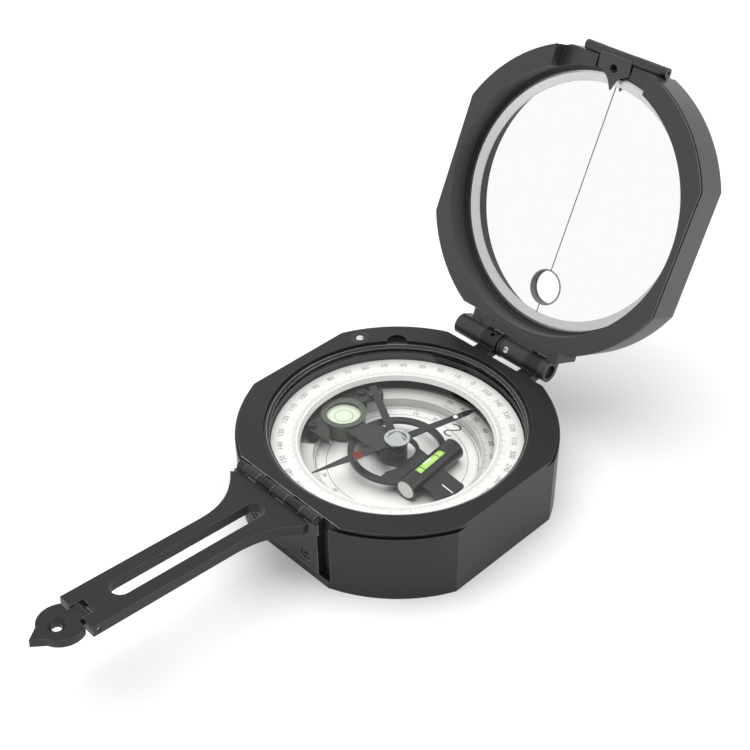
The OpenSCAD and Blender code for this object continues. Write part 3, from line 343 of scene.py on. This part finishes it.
# the glass ring's light edge colour is a painted highlight
ring_black = finish("blackened_glass_ring", (0.035, 0.037, 0.035), 0.25, metallic=0.6,
                    grain=0.004, mottle=0.1, streaks=(1, 1, 8), edge=(0.5, 0.51, 0.5),
                    round_edge=0.12)
dress(ring_black, "glass_ring")
pin_steel = finish("turned_steel", (0.55, 0.55, 0.56), 0.28, metallic=1.0, grain=0.006,
                   mottle=0.08, round_edge=0.08)
dress(pin_steel, "lid_hinge_pin", "arm_hinge_pin", "tip_pin", "peep_pin", "fulcrum_pin",
      "leaf_screws", "base_screws", "declination_screw", "clinometer_shaft",
      "pivot_pin")
nickel = finish("nickel_plate", (0.75, 0.76, 0.77), 0.16, metallic=1.0, grain=0.003,
                mottle=0.04, round_edge=0.12)
dress(nickel, "lift_pin")
cap_silver = finish("bright_cap", (0.6, 0.61, 0.62), 0.16, metallic=1.0, grain=0.045,
                    grain_size=0.9, mottle=0.22, round_edge=0.14)
dress(cap_silver, "needle_cap")
bezel_metal = finish("grey_green_bezel", (0.12, 0.135, 0.12), 0.34, metallic=0.6, grain=0.004,
                     mottle=0.08, edge=(0.5, 0.53, 0.48), round_edge=0.14)
dress(bezel_metal, "level_bezel")
brass = finish("machined_brass", (0.62, 0.43, 0.16), 0.3, metallic=1.0, grain=0.006, mottle=0.1)
dress(brass, "ring_gear", "declination_pinion")

# %% [markdown]
# ### Dials, levels and needle
# The dial and the azimuth ring are white enamel and white plastic. The clinometer's scale is
# plastic coloured pale grey as painted shade. The clinometer and the lift lever are dark plated
# brass, and the round level's bracket and cup are grey-green. The needle is lacquered black on its
# north half and left grey on its south half.

# %% Finishes inside the case
dial_white = finish("white_enamel", (0.80, 0.80, 0.785), 0.32, grain=0.004, mottle=0.015,
                    round_edge=0.1)
dress(dial_white, "inner_dial")
ring_white = finish("white_ring_plastic", (0.82, 0.82, 0.80), 0.35, grain=0.006, mottle=0.02,
                    round_edge=0.15)
dress(ring_white, "azimuth_ring")
# the scale's pale grey is painted shade
shaded_scale_grey = finish("scale_plastic_greyed_for_shade", (0.60, 0.59, 0.58), 0.4, grain=0.006,
                    mottle=0.03, round_edge=0.15)
dress(shaded_scale_grey, "clinometer_scale")
dark_brass = finish("dark_plated_brass", (0.022, 0.024, 0.025), 0.3, metallic=0.3, grain=0.02,
                    grain_size=0.4, edge=(0.3, 0.32, 0.31), round_edge=0.12)
dress(dark_brass, "clinometer_plate", "index_plate", "lift_lever", "lift_bush",
      "bracket_screws")
bracket_green = finish("grey_green_bracket", (0.03, 0.034, 0.028), 0.34, metallic=0.2,
                       grain=0.015, grain_size=0.5, edge=(0.3, 0.32, 0.28), round_edge=0.12)
dress(bracket_green, "level_bracket")
cup_green = finish("grey_green_cup", (0.085, 0.098, 0.08), 0.3, metallic=0.3, grain=0.012,
                   grain_size=0.5, edge=(0.3, 0.33, 0.28), round_edge=0.12)
dress(cup_green, "level_cup")
sleeve_black = finish("black_sleeve", (0.01, 0.01, 0.01), 0.24, grain=0.01, grain_size=0.5,
                      edge=(0.2, 0.2, 0.2), round_edge=0.12)
dress(sleeve_black, "tube_sleeve")
needle_black = finish("black_needle_lacquer", (0.008, 0.008, 0.01), 0.25, grain=0.004,
                      edge=(0.14, 0.14, 0.15), round_edge=0.08)
dress(needle_black, "needle_north", "needle_hub")
needle_grey = finish("grey_magnet_steel", (0.045, 0.045, 0.047), 0.3, metallic=0.5, grain=0.006,
                     edge=(0.4, 0.4, 0.4), round_edge=0.08)
dress(needle_grey, "needle_south")
mark_white = finish("white_needle_mark", (0.86, 0.86, 0.83), 0.35, grain=0.004, mottle=0.02)
dress(mark_white, "needle_dot")
plug_cream = finish("cream_plug_plastic", (0.88, 0.87, 0.82), 0.4, grain=0.05,
                    grain_size=0.6, mottle=0.16)
dress(plug_cream, "tube_plugs")


# %% [markdown]
# ### Glass, mirror and liquid
# Thin flat glass is best made of a clear and a glossy part, so that light reaches the dial
# without noise. The mirror is a bright metal surface with almost no roughness. The liquids of
# the two levels are so small that a tinted, glossy surface shows them as well as clear ones.

# %% Clear and tinted materials
def clear(name, tint, gloss, roughness=0.02, bend=1.45):
    """Thin glass: gloss is the share of the mirrored light, bend how much it bends the light."""
    made = bpy.data.materials.new(name)
    tree = new_tree(made)
    place = add_node(tree, "ShaderNodeTexCoord")
    smear = add_node(tree, "ShaderNodeTexNoise", {"Vector": place.outputs["Object"],
                     "Scale": 60.0, "Detail": 4.0})
    rough = add_node(tree, "ShaderNodeMapRange", {"Value": smear.outputs["Fac"],
                     "To Min": roughness * 0.5, "To Max": roughness * 1.8})
    through = add_node(tree, "ShaderNodeBsdfTransparent", {"Color": tint + (1,)})
    shine = add_node(tree, "ShaderNodeBsdfGlossy", {"Color": white,
                     "Roughness": rough.outputs[0]})
    angle = add_node(tree, "ShaderNodeFresnel", {"IOR": bend})
    side = add_node(tree, "ShaderNodeNewGeometry")
    inner = add_node(tree, "ShaderNodeMath", {0: gloss, 1: side.outputs["Backfacing"]},
                     operation="MULTIPLY")
    outer = add_node(tree, "ShaderNodeMath", {0: gloss, 1: inner.outputs[0]},
                     operation="SUBTRACT")
    share = add_node(tree, "ShaderNodeMath", {0: angle.outputs[0], 1: outer.outputs[0]},
                     operation="MULTIPLY")
    mixed = add_node(tree, "ShaderNodeMixShader", {0: share.outputs[0],
                     1: through.outputs[0], 2: shine.outputs[0]})
    add_node(tree, "ShaderNodeOutputMaterial", {0: mixed.outputs[0]})
    return made


cover_clear = clear("flat_cover_glass", (0.985, 0.99, 0.985), 0.75)
dress(cover_clear, "cover_glass")
level_clear = clear("level_lens_glass", (0.96, 0.98, 0.95), 0.9)
liquid_green = finish("pale_green_liquid", (0.86, 0.89, 0.79), 0.12, mottle=0.04, coat=0.6)
dress(liquid_green, "level_liquid")
liquid_lime = finish("lime_vial_liquid", (0.42, 0.72, 0.12), 0.1, mottle=0.08, coat=1.0)
dress(liquid_lime, "tube_vial")
jewel_red = finish("red_jewel", (0.45, 0.03, 0.07), 0.08, mottle=0.1, coat=1.0)
dress(jewel_red, "cap_jewel")
silvered = finish("silvered_mirror", (0.93, 0.94, 0.95), 0.02, metallic=1.0, mottle=0.01,
                  round_edge=0.05)
dress(silvered, "mirror")


# %% [markdown]
# ## Building small pieces
# The added pieces are drawn as outlines that are raised, or as profiles that are turned round an
# axis. Such helpers make the points and faces, and one maker places them, scales them to metres
# and hangs the piece on the body that carries it.

# %% The maker of a piece
sharp_edge, same_point = math.radians(40), 1e-7


def piece(name, verts, faces, material, body, slot, place=at_case, smooth=True):
    mesh = bpy.data.meshes.new(name)
    mesh.from_pydata([tuple((place @ Vector(v)) * mm) for v in verts], [], faces)
    work = bmesh.new()
    work.from_mesh(mesh)
    bmesh.ops.remove_doubles(work, verts=work.verts, dist=same_point)
    bmesh.ops.recalc_face_normals(work, faces=work.faces)
    work.to_mesh(mesh)
    work.free()
    made = bpy.data.objects.new(name, mesh)
    scene.collection.objects.link(made)
    mesh.materials.append(material)
    if smooth:
        mesh.shade_smooth()
        mesh.set_sharp_from_angle(angle=sharp_edge)
    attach(made, body)
    return made


# %% Helpers that draw
def rectangle(left, right, low, high):
    return [(left, low), (right, low), (right, high), (left, high)]


def circle(r, steps=48):
    return [(r * math.cos(2 * math.pi * i / steps), r * math.sin(2 * math.pi * i / steps))
            for i in range(steps)]


def turned_ring(profile, steps=96, closed=True):
    """Verts and faces of a profile of (radius, height) points turned round Z."""
    verts, faces, n = [], [], len(profile)
    for i in range(steps):
        a = 2 * math.pi * i / steps
        verts += [(r * math.cos(a), r * math.sin(a), z) for r, z in profile]
    for i in range(steps):
        for k in range(n if closed else n - 1):
            a, b = i * n + k, i * n + (k + 1) % n
            c, d = (i + 1) % steps * n + (k + 1) % n, (i + 1) % steps * n + k
            faces.append((a, b, c, d))
    return verts, faces


def raised(outline, low, high, hole=None, hole_depth=None):
    """Verts and faces of an outline raised from low to high, with a blind hole if given."""
    outlines = [outline, hole] if hole else [outline]
    loops = [[Vector((*p, 0)) for p in points] for points in outlines]
    flat = [v for loop in loops for v in loop]
    n, rim = len(flat), len(outline)
    floor = high - hole_depth if hole else low
    verts = [(v.x, v.y, high) for v in flat]
    verts += [(v.x, v.y, low if i < rim else floor) for i, v in enumerate(flat)]
    faces = [tuple(t) for t in tessellate_polygon(loops)]
    start = 0
    for loop in loops:
        m = len(loop)
        faces += [(start + i, start + (i + 1) % m, n + start + (i + 1) % m, n + start + i)
                  for i in range(m)]
        start += m
    faces.append(tuple(range(n, n + rim)))
    if hole:
        faces.append(tuple(range(n + rim, 2 * n)))
    return verts, faces


def joined(parts):
    """Several (verts, faces) pairs as one."""
    verts, faces = [], []
    for v, f in parts:
        shift = len(verts)
        verts += v
        faces += [tuple(i + shift for i in face) for face in f]
    return verts, faces


def moved(part, place):
    return [tuple(place @ Vector(v)) for v in part[0]], part[1]


print("piece helpers ready")

# %% [markdown]
# ## Printed dials
# The graduations and figures are printed on the ring, on the scale and on the dial. A picture
# could carry them, but thin raised ink keeps them sharp at any size. The figures come from the
# built-in font, turned into a mesh, and every figure stands on its own radius.

# %% Ink and figures
ink = finish("printing_ink", (0.03, 0.03, 0.032), 0.5, mottle=0.2)
# the azimuth ring's figures use a paler ink, a painted glare that washes them out
glare_paled_ink = finish("printing_ink_paled_for_glare", (0.22, 0.22, 0.225), 0.5, mottle=0.3)
ink_height, ink_root = 0.02, 0.01


def figure(text, size):
    """Verts and faces of a plain number, centred, in mm, lying flat."""
    curve = bpy.data.curves.new("figure", "FONT")
    curve.body, curve.size = text, size
    curve.align_x, curve.align_y = "CENTER", "CENTER"
    curve.resolution_u = 3
    holder = bpy.data.objects.new("figure", curve)
    mesh = bpy.data.meshes.new_from_object(holder)
    part = [tuple(v.co) for v in mesh.vertices], [tuple(p.vertices) for p in mesh.polygons]
    bpy.data.objects.remove(holder)
    bpy.data.meshes.remove(mesh)
    return part


def figure_at(text, size, radius, angle, height):
    """A figure on its radius, with its foot towards the dial's centre."""
    place = Matrix.Translation(polar(radius, angle, height)) @ turned(angle - 90, "Z")
    return moved(figure(text, size), place)


def tick_at(angle, inner, outer, width, surface):
    """A radial tick, sunk a little into the surface that it is printed on."""
    outline = rectangle(inner, outer, -width / 2, width / 2)
    return moved(raised(outline, surface - ink_root, surface + ink_height), turned(angle, "Z"))


def tick_length(count, plain, fifth, tenth):
    return tenth if count % 10 == 0 else fifth if count % 5 == 0 else plain


# %% Azimuth ring: a tick for every degree and a figure every ten
azimuth_top, azimuth_start = top_of("azimuth_ring"), 91.8
azimuth_tick_r, azimuth_figure_r, azimuth_figure_size = 25.2, 29.0, 2.0
tick_width = 0.09
ring_parts = []
for degree in range(360):
    length = tick_length(degree, plain=0.95, fifth=1.45, tenth=1.9)
    ring_parts.append(tick_at(azimuth_start + degree, azimuth_tick_r, azimuth_tick_r + length,
                              tick_width, azimuth_top))
for degree in range(0, 360, 10):
    ring_parts.append(figure_at(str(degree), azimuth_figure_size, azimuth_figure_r,
                                azimuth_start + degree, azimuth_top + ink_height))
piece("azimuth_figures", *joined(ring_parts), glare_paled_ink, "azimuth_ring_body", "ring_white",
      smooth=False)
print("azimuth ring:", len(ring_parts), "marks")

# %% Clinometer scale: ticks and figures on its open arc
scale_top = top_of("clinometer_scale")
scale_zero, scale_step, scale_first, scale_last = 17.9, 1.17, -57, 71
scale_tick_r, scale_figure_r, scale_figure_size = 21.5, 23.9, 1.9
# the angles of 0 to 70 on the side that the photograph shows, whose spacing isn't quite even
angles_shown = (17.9, 29.8, 40.8, 52.6, 64.7, 76.4, 88.1, 99.8)
angles_beyond = [scale_zero - 10 * scale_step * count for count in range(1, 9)]
scale_parts = []
for step in range(scale_first, scale_last + 1):
    length = tick_length(step, plain=0.6, fifth=0.9, tenth=1.3)
    scale_parts.append(tick_at(scale_zero + step * scale_step, scale_tick_r,
                               scale_tick_r + length, tick_width, scale_top))
for first, angles in ((0, angles_shown), (10, angles_beyond)):
    for count, angle in enumerate(angles):
        scale_parts.append(figure_at(str(first + count * 10), scale_figure_size, scale_figure_r,
                                     angle, scale_top + ink_height))
piece("scale_figures", *joined(scale_parts), ink, "case", "ring_white", smooth=False)
print("clinometer scale:", len(scale_parts), "marks")


# %% Lines for the inner dial
def strip(pairs, height):
    """Verts and faces of a flat strip between pairs of points."""
    verts = [(*p, height) for pair in pairs for p in pair]
    faces = [(2 * i, 2 * i + 1, 2 * i + 3, 2 * i + 2) for i in range(len(pairs) - 1)]
    return verts, faces


def circle_line(radius, width, height, steps=180):
    sides = (radius - width / 2, radius + width / 2)
    return strip([[polar(r, 360 * i / steps).xy for r in sides] for i in range(steps + 1)], height)


def stroke(points, width, height):
    """A flat line of even width through points."""
    pairs = []
    for i, p in enumerate(points):
        a, b = points[max(0, i - 1)], points[min(len(points) - 1, i + 1)]
        side = Vector((a[1] - b[1], b[0] - a[0])).normalized() * width / 2
        pairs.append([Vector(p) - side, Vector(p) + side])
    return strip(pairs, height)


def smooth_path(points, between=6):
    """A curve through points, as closer points."""
    path, last = [], len(points) - 1
    for i in range(last):
        p0, p1, p2, p3 = (Vector(points[max(0, min(last, k))]) for k in range(i - 1, i + 3))
        for t in (k / between for k in range(between)):
            ahead = (p2 - p0) * t
            bend = (2 * p0 - 5 * p1 + 4 * p2 - p3) * t ** 2
            twist = (3 * p1 - p0 - 3 * p2 + p3) * t ** 3
            path.append(tuple(0.5 * (2 * p1 + ahead + bend + twist)))
    return path + [points[-1]]


# %% Inner dial: two fine circles, ticks, a curled mark and small figures
dial_top = top_of("inner_dial")
dial_circles, circle_width = (20.6, 17.9), 0.12
dial_tick_outer, dial_tick_inner, dial_long_tick_inner, dial_tick_width = 20.55, 20.0, 19.6, 0.08
dial_figure_r, dial_figure_size = 18.8, 1.5
dial_figures = {-99: "30", -80: "20", -118: "40", -61: "10", 120: "10", 103: "20"}
curl_width = 0.42
curl = smooth_path([(0.6, 19.99), (1.0, 20.5), (1.7, 20.75), (2.6, 20.65), (3.17, 20.15),
                    (3.1, 19.5), (2.2, 18.43), (1.35, 17.75), (0.93, 17.15), (0.95, 16.4),
                    (1.66, 15.95), (2.5, 15.95), (3.3, 16.3)])
dial_parts = [circle_line(r, circle_width, dial_top + ink_height) for r in dial_circles]
for degree in range(0, 360, 2):
    inner = dial_long_tick_inner if degree % 10 == 0 else dial_tick_inner
    dial_parts.append(tick_at(degree, inner, dial_tick_outer, dial_tick_width, dial_top))
for degree, text in dial_figures.items():
    dial_parts.append(figure_at(text, dial_figure_size, dial_figure_r, degree,
                                dial_top + ink_height))
dial_parts.append(stroke(curl, curl_width, dial_top + ink_height))
piece("dial_figures", *joined(dial_parts), ink, "case", "dial_white", smooth=False)
print("inner dial:", len(dial_parts), "marks")


# %% [markdown]
# ## Copper winding
# A few turns of fine copper wire on the south half balance the needle against the dip of the
# earth's field. In CAD it is a plain block. Here a round wire is wound over the blade: a tube
# swept along a helix that is squeezed to the blade's flat section.

# %% Wire helper
def wire(path, radius, sides=8):
    """Verts and faces of a round wire along points, with closed ends."""
    verts, faces, n = [], [], len(path)
    normal = None
    for i, p in enumerate(path):
        p = Vector(p)
        along = (Vector(path[min(n - 1, i + 1)]) - Vector(path[max(0, i - 1)])).normalized()
        if normal is None:
            normal = along.orthogonal().normalized()
        normal = (normal - along * normal.dot(along)).normalized()
        across = along.cross(normal)
        for k in range(sides):
            a = 2 * math.pi * k / sides
            verts.append(tuple(p + (normal * math.cos(a) + across * math.sin(a)) * radius))
    for i in range(n - 1):
        for k in range(sides):
            faces.append((i * sides + k, i * sides + (k + 1) % sides,
                          (i + 1) * sides + (k + 1) % sides, (i + 1) * sides + k))
    faces += [tuple(range(sides))[::-1], tuple(range((n - 1) * sides, n * sides))]
    return verts, faces


# %% The winding
copper = finish("copper_wire", (0.46, 0.13, 0.08), 0.34, metallic=1.0, grain=0.004, mottle=0.15,
                round_edge=0.03)
turns, per_turn, wire_r = 6, 20, 0.14
blade_half_width, blade_half_height = 1.1, 0.15
squeeze_width, squeeze_height = 0.45, 0.7
winding_start, winding_length = -10.4, 2.3
blade_middle = top_of("needle_south") - blade_half_height
coil_path = []
for i in range(turns * per_turn + 1):
    a = 2 * math.pi * i / per_turn
    x = math.copysign(abs(math.cos(a)) ** squeeze_width, math.cos(a))
    z = math.copysign(abs(math.sin(a)) ** squeeze_height, math.sin(a))
    coil_path.append((x * (blade_half_width + wire_r),
                      winding_start - winding_length * i / (turns * per_turn),
                      blade_middle + z * (blade_half_height + wire_r)))
winding = piece("copper_winding", *wire(coil_path, wire_r), copper, "needle", "copper_wire",
                at_needle)
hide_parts("balance_coil")
print("winding:", turns, "turns of", 2 * wire_r, "mm wire")

# %% [markdown]
# ## Levels
# The round level shows a bubble and a faint green circle under a domed lens. The tube level
# shows a long bubble between two dark lines. The dome is a shallow turned cap, and the
# bubbles are turned shells with a pale gloss, because a real bubble shows as a bright skin.

# %% Round level
dome_r, dome_top, dome_foot, dome_fall = 4.7, 12.62, 11.55, 4.75
dome_steps, bubble_steps = 12, 12
dome = [(0.0, dome_top)]
for i in range(1, dome_steps + 1):
    t = i * math.pi / 2 / dome_steps
    dome.append((dome_r * math.sin(t), dome_top - dome_fall * (1 - math.cos(t / 2))))
dome += [(dome_r, dome_foot), (0.0, dome_foot)]
lens = piece("level_dome", *turned_ring(dome, 72, closed=False), level_clear, "case",
             "bubble_glass", at_round_level)
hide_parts("level_lens")
bubble_pale = finish("bubble_air", (0.90, 0.94, 0.84), 0.1, mottle=0.02, coat=1.0)
bubble_r, bubble_top, bubble_half, bubble_drift = 1.75, 11.54, 0.32, (0.35, 0.2, 0.0)
bubble_profile = [(bubble_r * math.sin(t), bubble_top - bubble_half * (1 - math.cos(t)))
                  for t in [i * math.pi / bubble_steps for i in range(bubble_steps + 1)]]
piece("level_bubble", *turned_ring(bubble_profile, 48, closed=False), bubble_pale, "case",
      "bubble_glass", at_round_level @ Matrix.Translation(bubble_drift))
circle_green = finish("faint_green_circle", (0.50, 0.56, 0.42), 0.4, mottle=0.1)
circle_inner, circle_outer, circle_low, circle_high = 2.25, 2.5, 11.53, 11.545
circle_profile = rectangle(circle_inner, circle_outer, circle_low, circle_high)
piece("level_circle", *turned_ring(circle_profile, 64), circle_green, "case", "bubble_glass",
      at_round_level)
print("round level: dome, bubble and circle")

# %% Tube level
tube_turn, tube_reach, tube_height, vial_r = 10.8, 10.5, 10.35, 2.3
towards_window, bubble_inset = math.radians(30), 0.62
tube_bubble_r, tube_bubble_half, tube_bubble_steps = 0.75, 3.0, 16
line_place, line_half_width, line_lift, line_thickness = 2.9, 0.12, 0.005, 0.025
at_tube = (at_clinometer @ turned(tube_turn, "Z")
           @ Matrix.Translation((tube_reach, 0, tube_height)) @ turned(90, "X"))
bubble_out = vial_r - bubble_inset
at_tube_bubble = at_tube @ Matrix.Translation(
    (-bubble_out * math.sin(towards_window), bubble_out * math.cos(towards_window), 0))
tube_bubble = [(tube_bubble_r * math.sin(t), tube_bubble_half * math.cos(t))
               for t in [i * math.pi / tube_bubble_steps for i in range(tube_bubble_steps + 1)]]
piece("vial_bubble", *turned_ring(tube_bubble, 32, closed=False), bubble_pale, "clinometer",
      "vial_glass", at_tube_bubble)
vial_rings = [turned_ring(rectangle(vial_r + line_lift, vial_r + line_lift + line_thickness,
                                    z - line_half_width, z + line_half_width), 48)
              for z in (-line_place, line_place)]
piece("vial_lines", *joined(vial_rings), ink, "clinometer", "vial_glass", at_tube)
print("tube level: bubble and two lines")

# %% [markdown]
# ## Screws and marks
# The hinge plate's screws have a cross recess, and each sits in its countersink. The spring
# under the lift pin is wound wire; the CAD model has a sleeve there.

# %% Cross-recess screws
def cross(arm, half):
    return [(arm, -half), (arm, half), (half, half), (half, arm), (-half, arm), (-half, half),
            (-arm, half), (-arm, -half), (-half, -half), (-half, -arm), (half, -arm),
            (half, -half)]


screw_black = finish("blackened_screw", (0.05, 0.05, 0.052), 0.25, metallic=0.8, grain=0.008,
                     edge=(0.5, 0.5, 0.5), round_edge=0.1)
screws_x, screw_face, screw_height, screw_turn = (-11.2, 6.9), -37.1, 6.1, 33
head_r, head_thickness, shank_r, shank_top, shank_end = 1.7, 0.7, 0.75, -0.6, -4.2
recess = cross(arm=1.05, half=0.22)
recess_depth = 0.5
head = raised(circle(head_r), -head_thickness, 0.0, recess, recess_depth)
shank = raised(circle(shank_r, 24), shank_end, shank_top)
screw_parts = []
for x in screws_x:
    stand = (Matrix.Translation((x, screw_face, screw_height)) @ turned(90, "X")
             @ turned(screw_turn + x, "Z"))
    screw_parts += [moved(head, stand), moved(shank, stand)]
plate_screws = piece("plate_screws", *joined(screw_parts), screw_black, "case", "black_screw")
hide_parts("hinge_plate_screws")
print("plate screws:", len(screws_x))

# %% Lift spring
spring_turns, spring_steps, spring_r, spring_wire_r = 7, 24, 0.93, 0.16
spring_low, spring_rise, spring_foot = 7.9, 2.78, 7.7
lift_reach, lift_angle = 35.9, 151
spring_path = []
for i in range(spring_turns * spring_steps + 1):
    a = 360 * i / spring_steps
    climb = spring_rise * i / (spring_turns * spring_steps)
    spring_path.append(polar(spring_r, a, spring_low + climb))
at_lift = Matrix.Translation(polar(lift_reach, lift_angle))
lift_spring = piece("wound_lift_spring", *wire(spring_path, spring_wire_r), pin_steel, "case",
                    "spring_steel", at_lift)
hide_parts("lift_spring")
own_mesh(lift_spring)
print("lift spring:", spring_turns, "turns")

# %% Sighting line and window edge of the mirror
line_grey = finish("engraved_line", (0.2, 0.2, 0.205), 0.8, mottle=0.2, shine=0.05)
line_half, line_end, line_gap = 0.16, 30.6, (19.2, 28.2)
line_low, line_high, window_y = 28.78, 28.83, 23.7
long_line = raised(rectangle(-line_half, line_half, -line_end, line_gap[0]), line_low, line_high)
short_line = raised(rectangle(-line_half, line_half, line_gap[1], line_end), line_low, line_high)
piece("mirror_line", *joined([long_line, short_line]), line_grey, "lid", "mirror_ring_metal",
      at_lid, smooth=False)
window_profile = [(4.38, 28.74), (4.82, 28.77), (4.82, line_high), (4.38, 30.3)]
window_edge = moved(turned_ring(window_profile, 72), Matrix.Translation((0, window_y, 0)))
piece("window_edge", *window_edge, line_grey, "lid", "mirror_ring_metal", at_lid)
print("mirror: line and window edge")

# %% Painted highlights as bright lines on turned edges and on the pocket's cut, and the white index line
edge_highlight_paint = finish("painted_edge_highlight", (0.5, 0.51, 0.5), 0.3, metallic=0.9, mottle=0.25)
edge_half, edge_thickness = 0.06, 0.03
ring_edges = [(32.2, 19.58), (31.58, 19.02)]
pocket_half, pocket_front, pocket_back, pocket_low, pocket_high = 17.3, -35.58, -35.49, 20.28, 20.33
index_inner, index_outer, index_half, index_low, index_high = 17.0, 20.85, 0.17, 10.88, 11.06
edge_highlight_rings = [turned_ring(rectangle(r - edge_half, r + edge_half, z, z + edge_thickness), 180)
              for r, z in ring_edges]
# bright rings on the glass ring's lips: painted highlights
piece("glass_ring_painted_highlights", *joined(edge_highlight_rings), edge_highlight_paint, "case", "bright_plate")
# a bright strip along the pocket's cut: a painted highlight
pocket_highlight = raised(rectangle(-pocket_half, pocket_half, pocket_front, pocket_back),
                     pocket_low, pocket_high)
piece("pocket_cut_painted_highlight", *pocket_highlight, edge_highlight_paint, "case", "bright_plate")
index_mark = raised(rectangle(index_inner, index_outer, -index_half, index_half),
                    index_low, index_high)
piece("index_line", *index_mark, mark_white, "clinometer", "dial_white", at_clinometer)
print("edge lines, pocket line and index line")
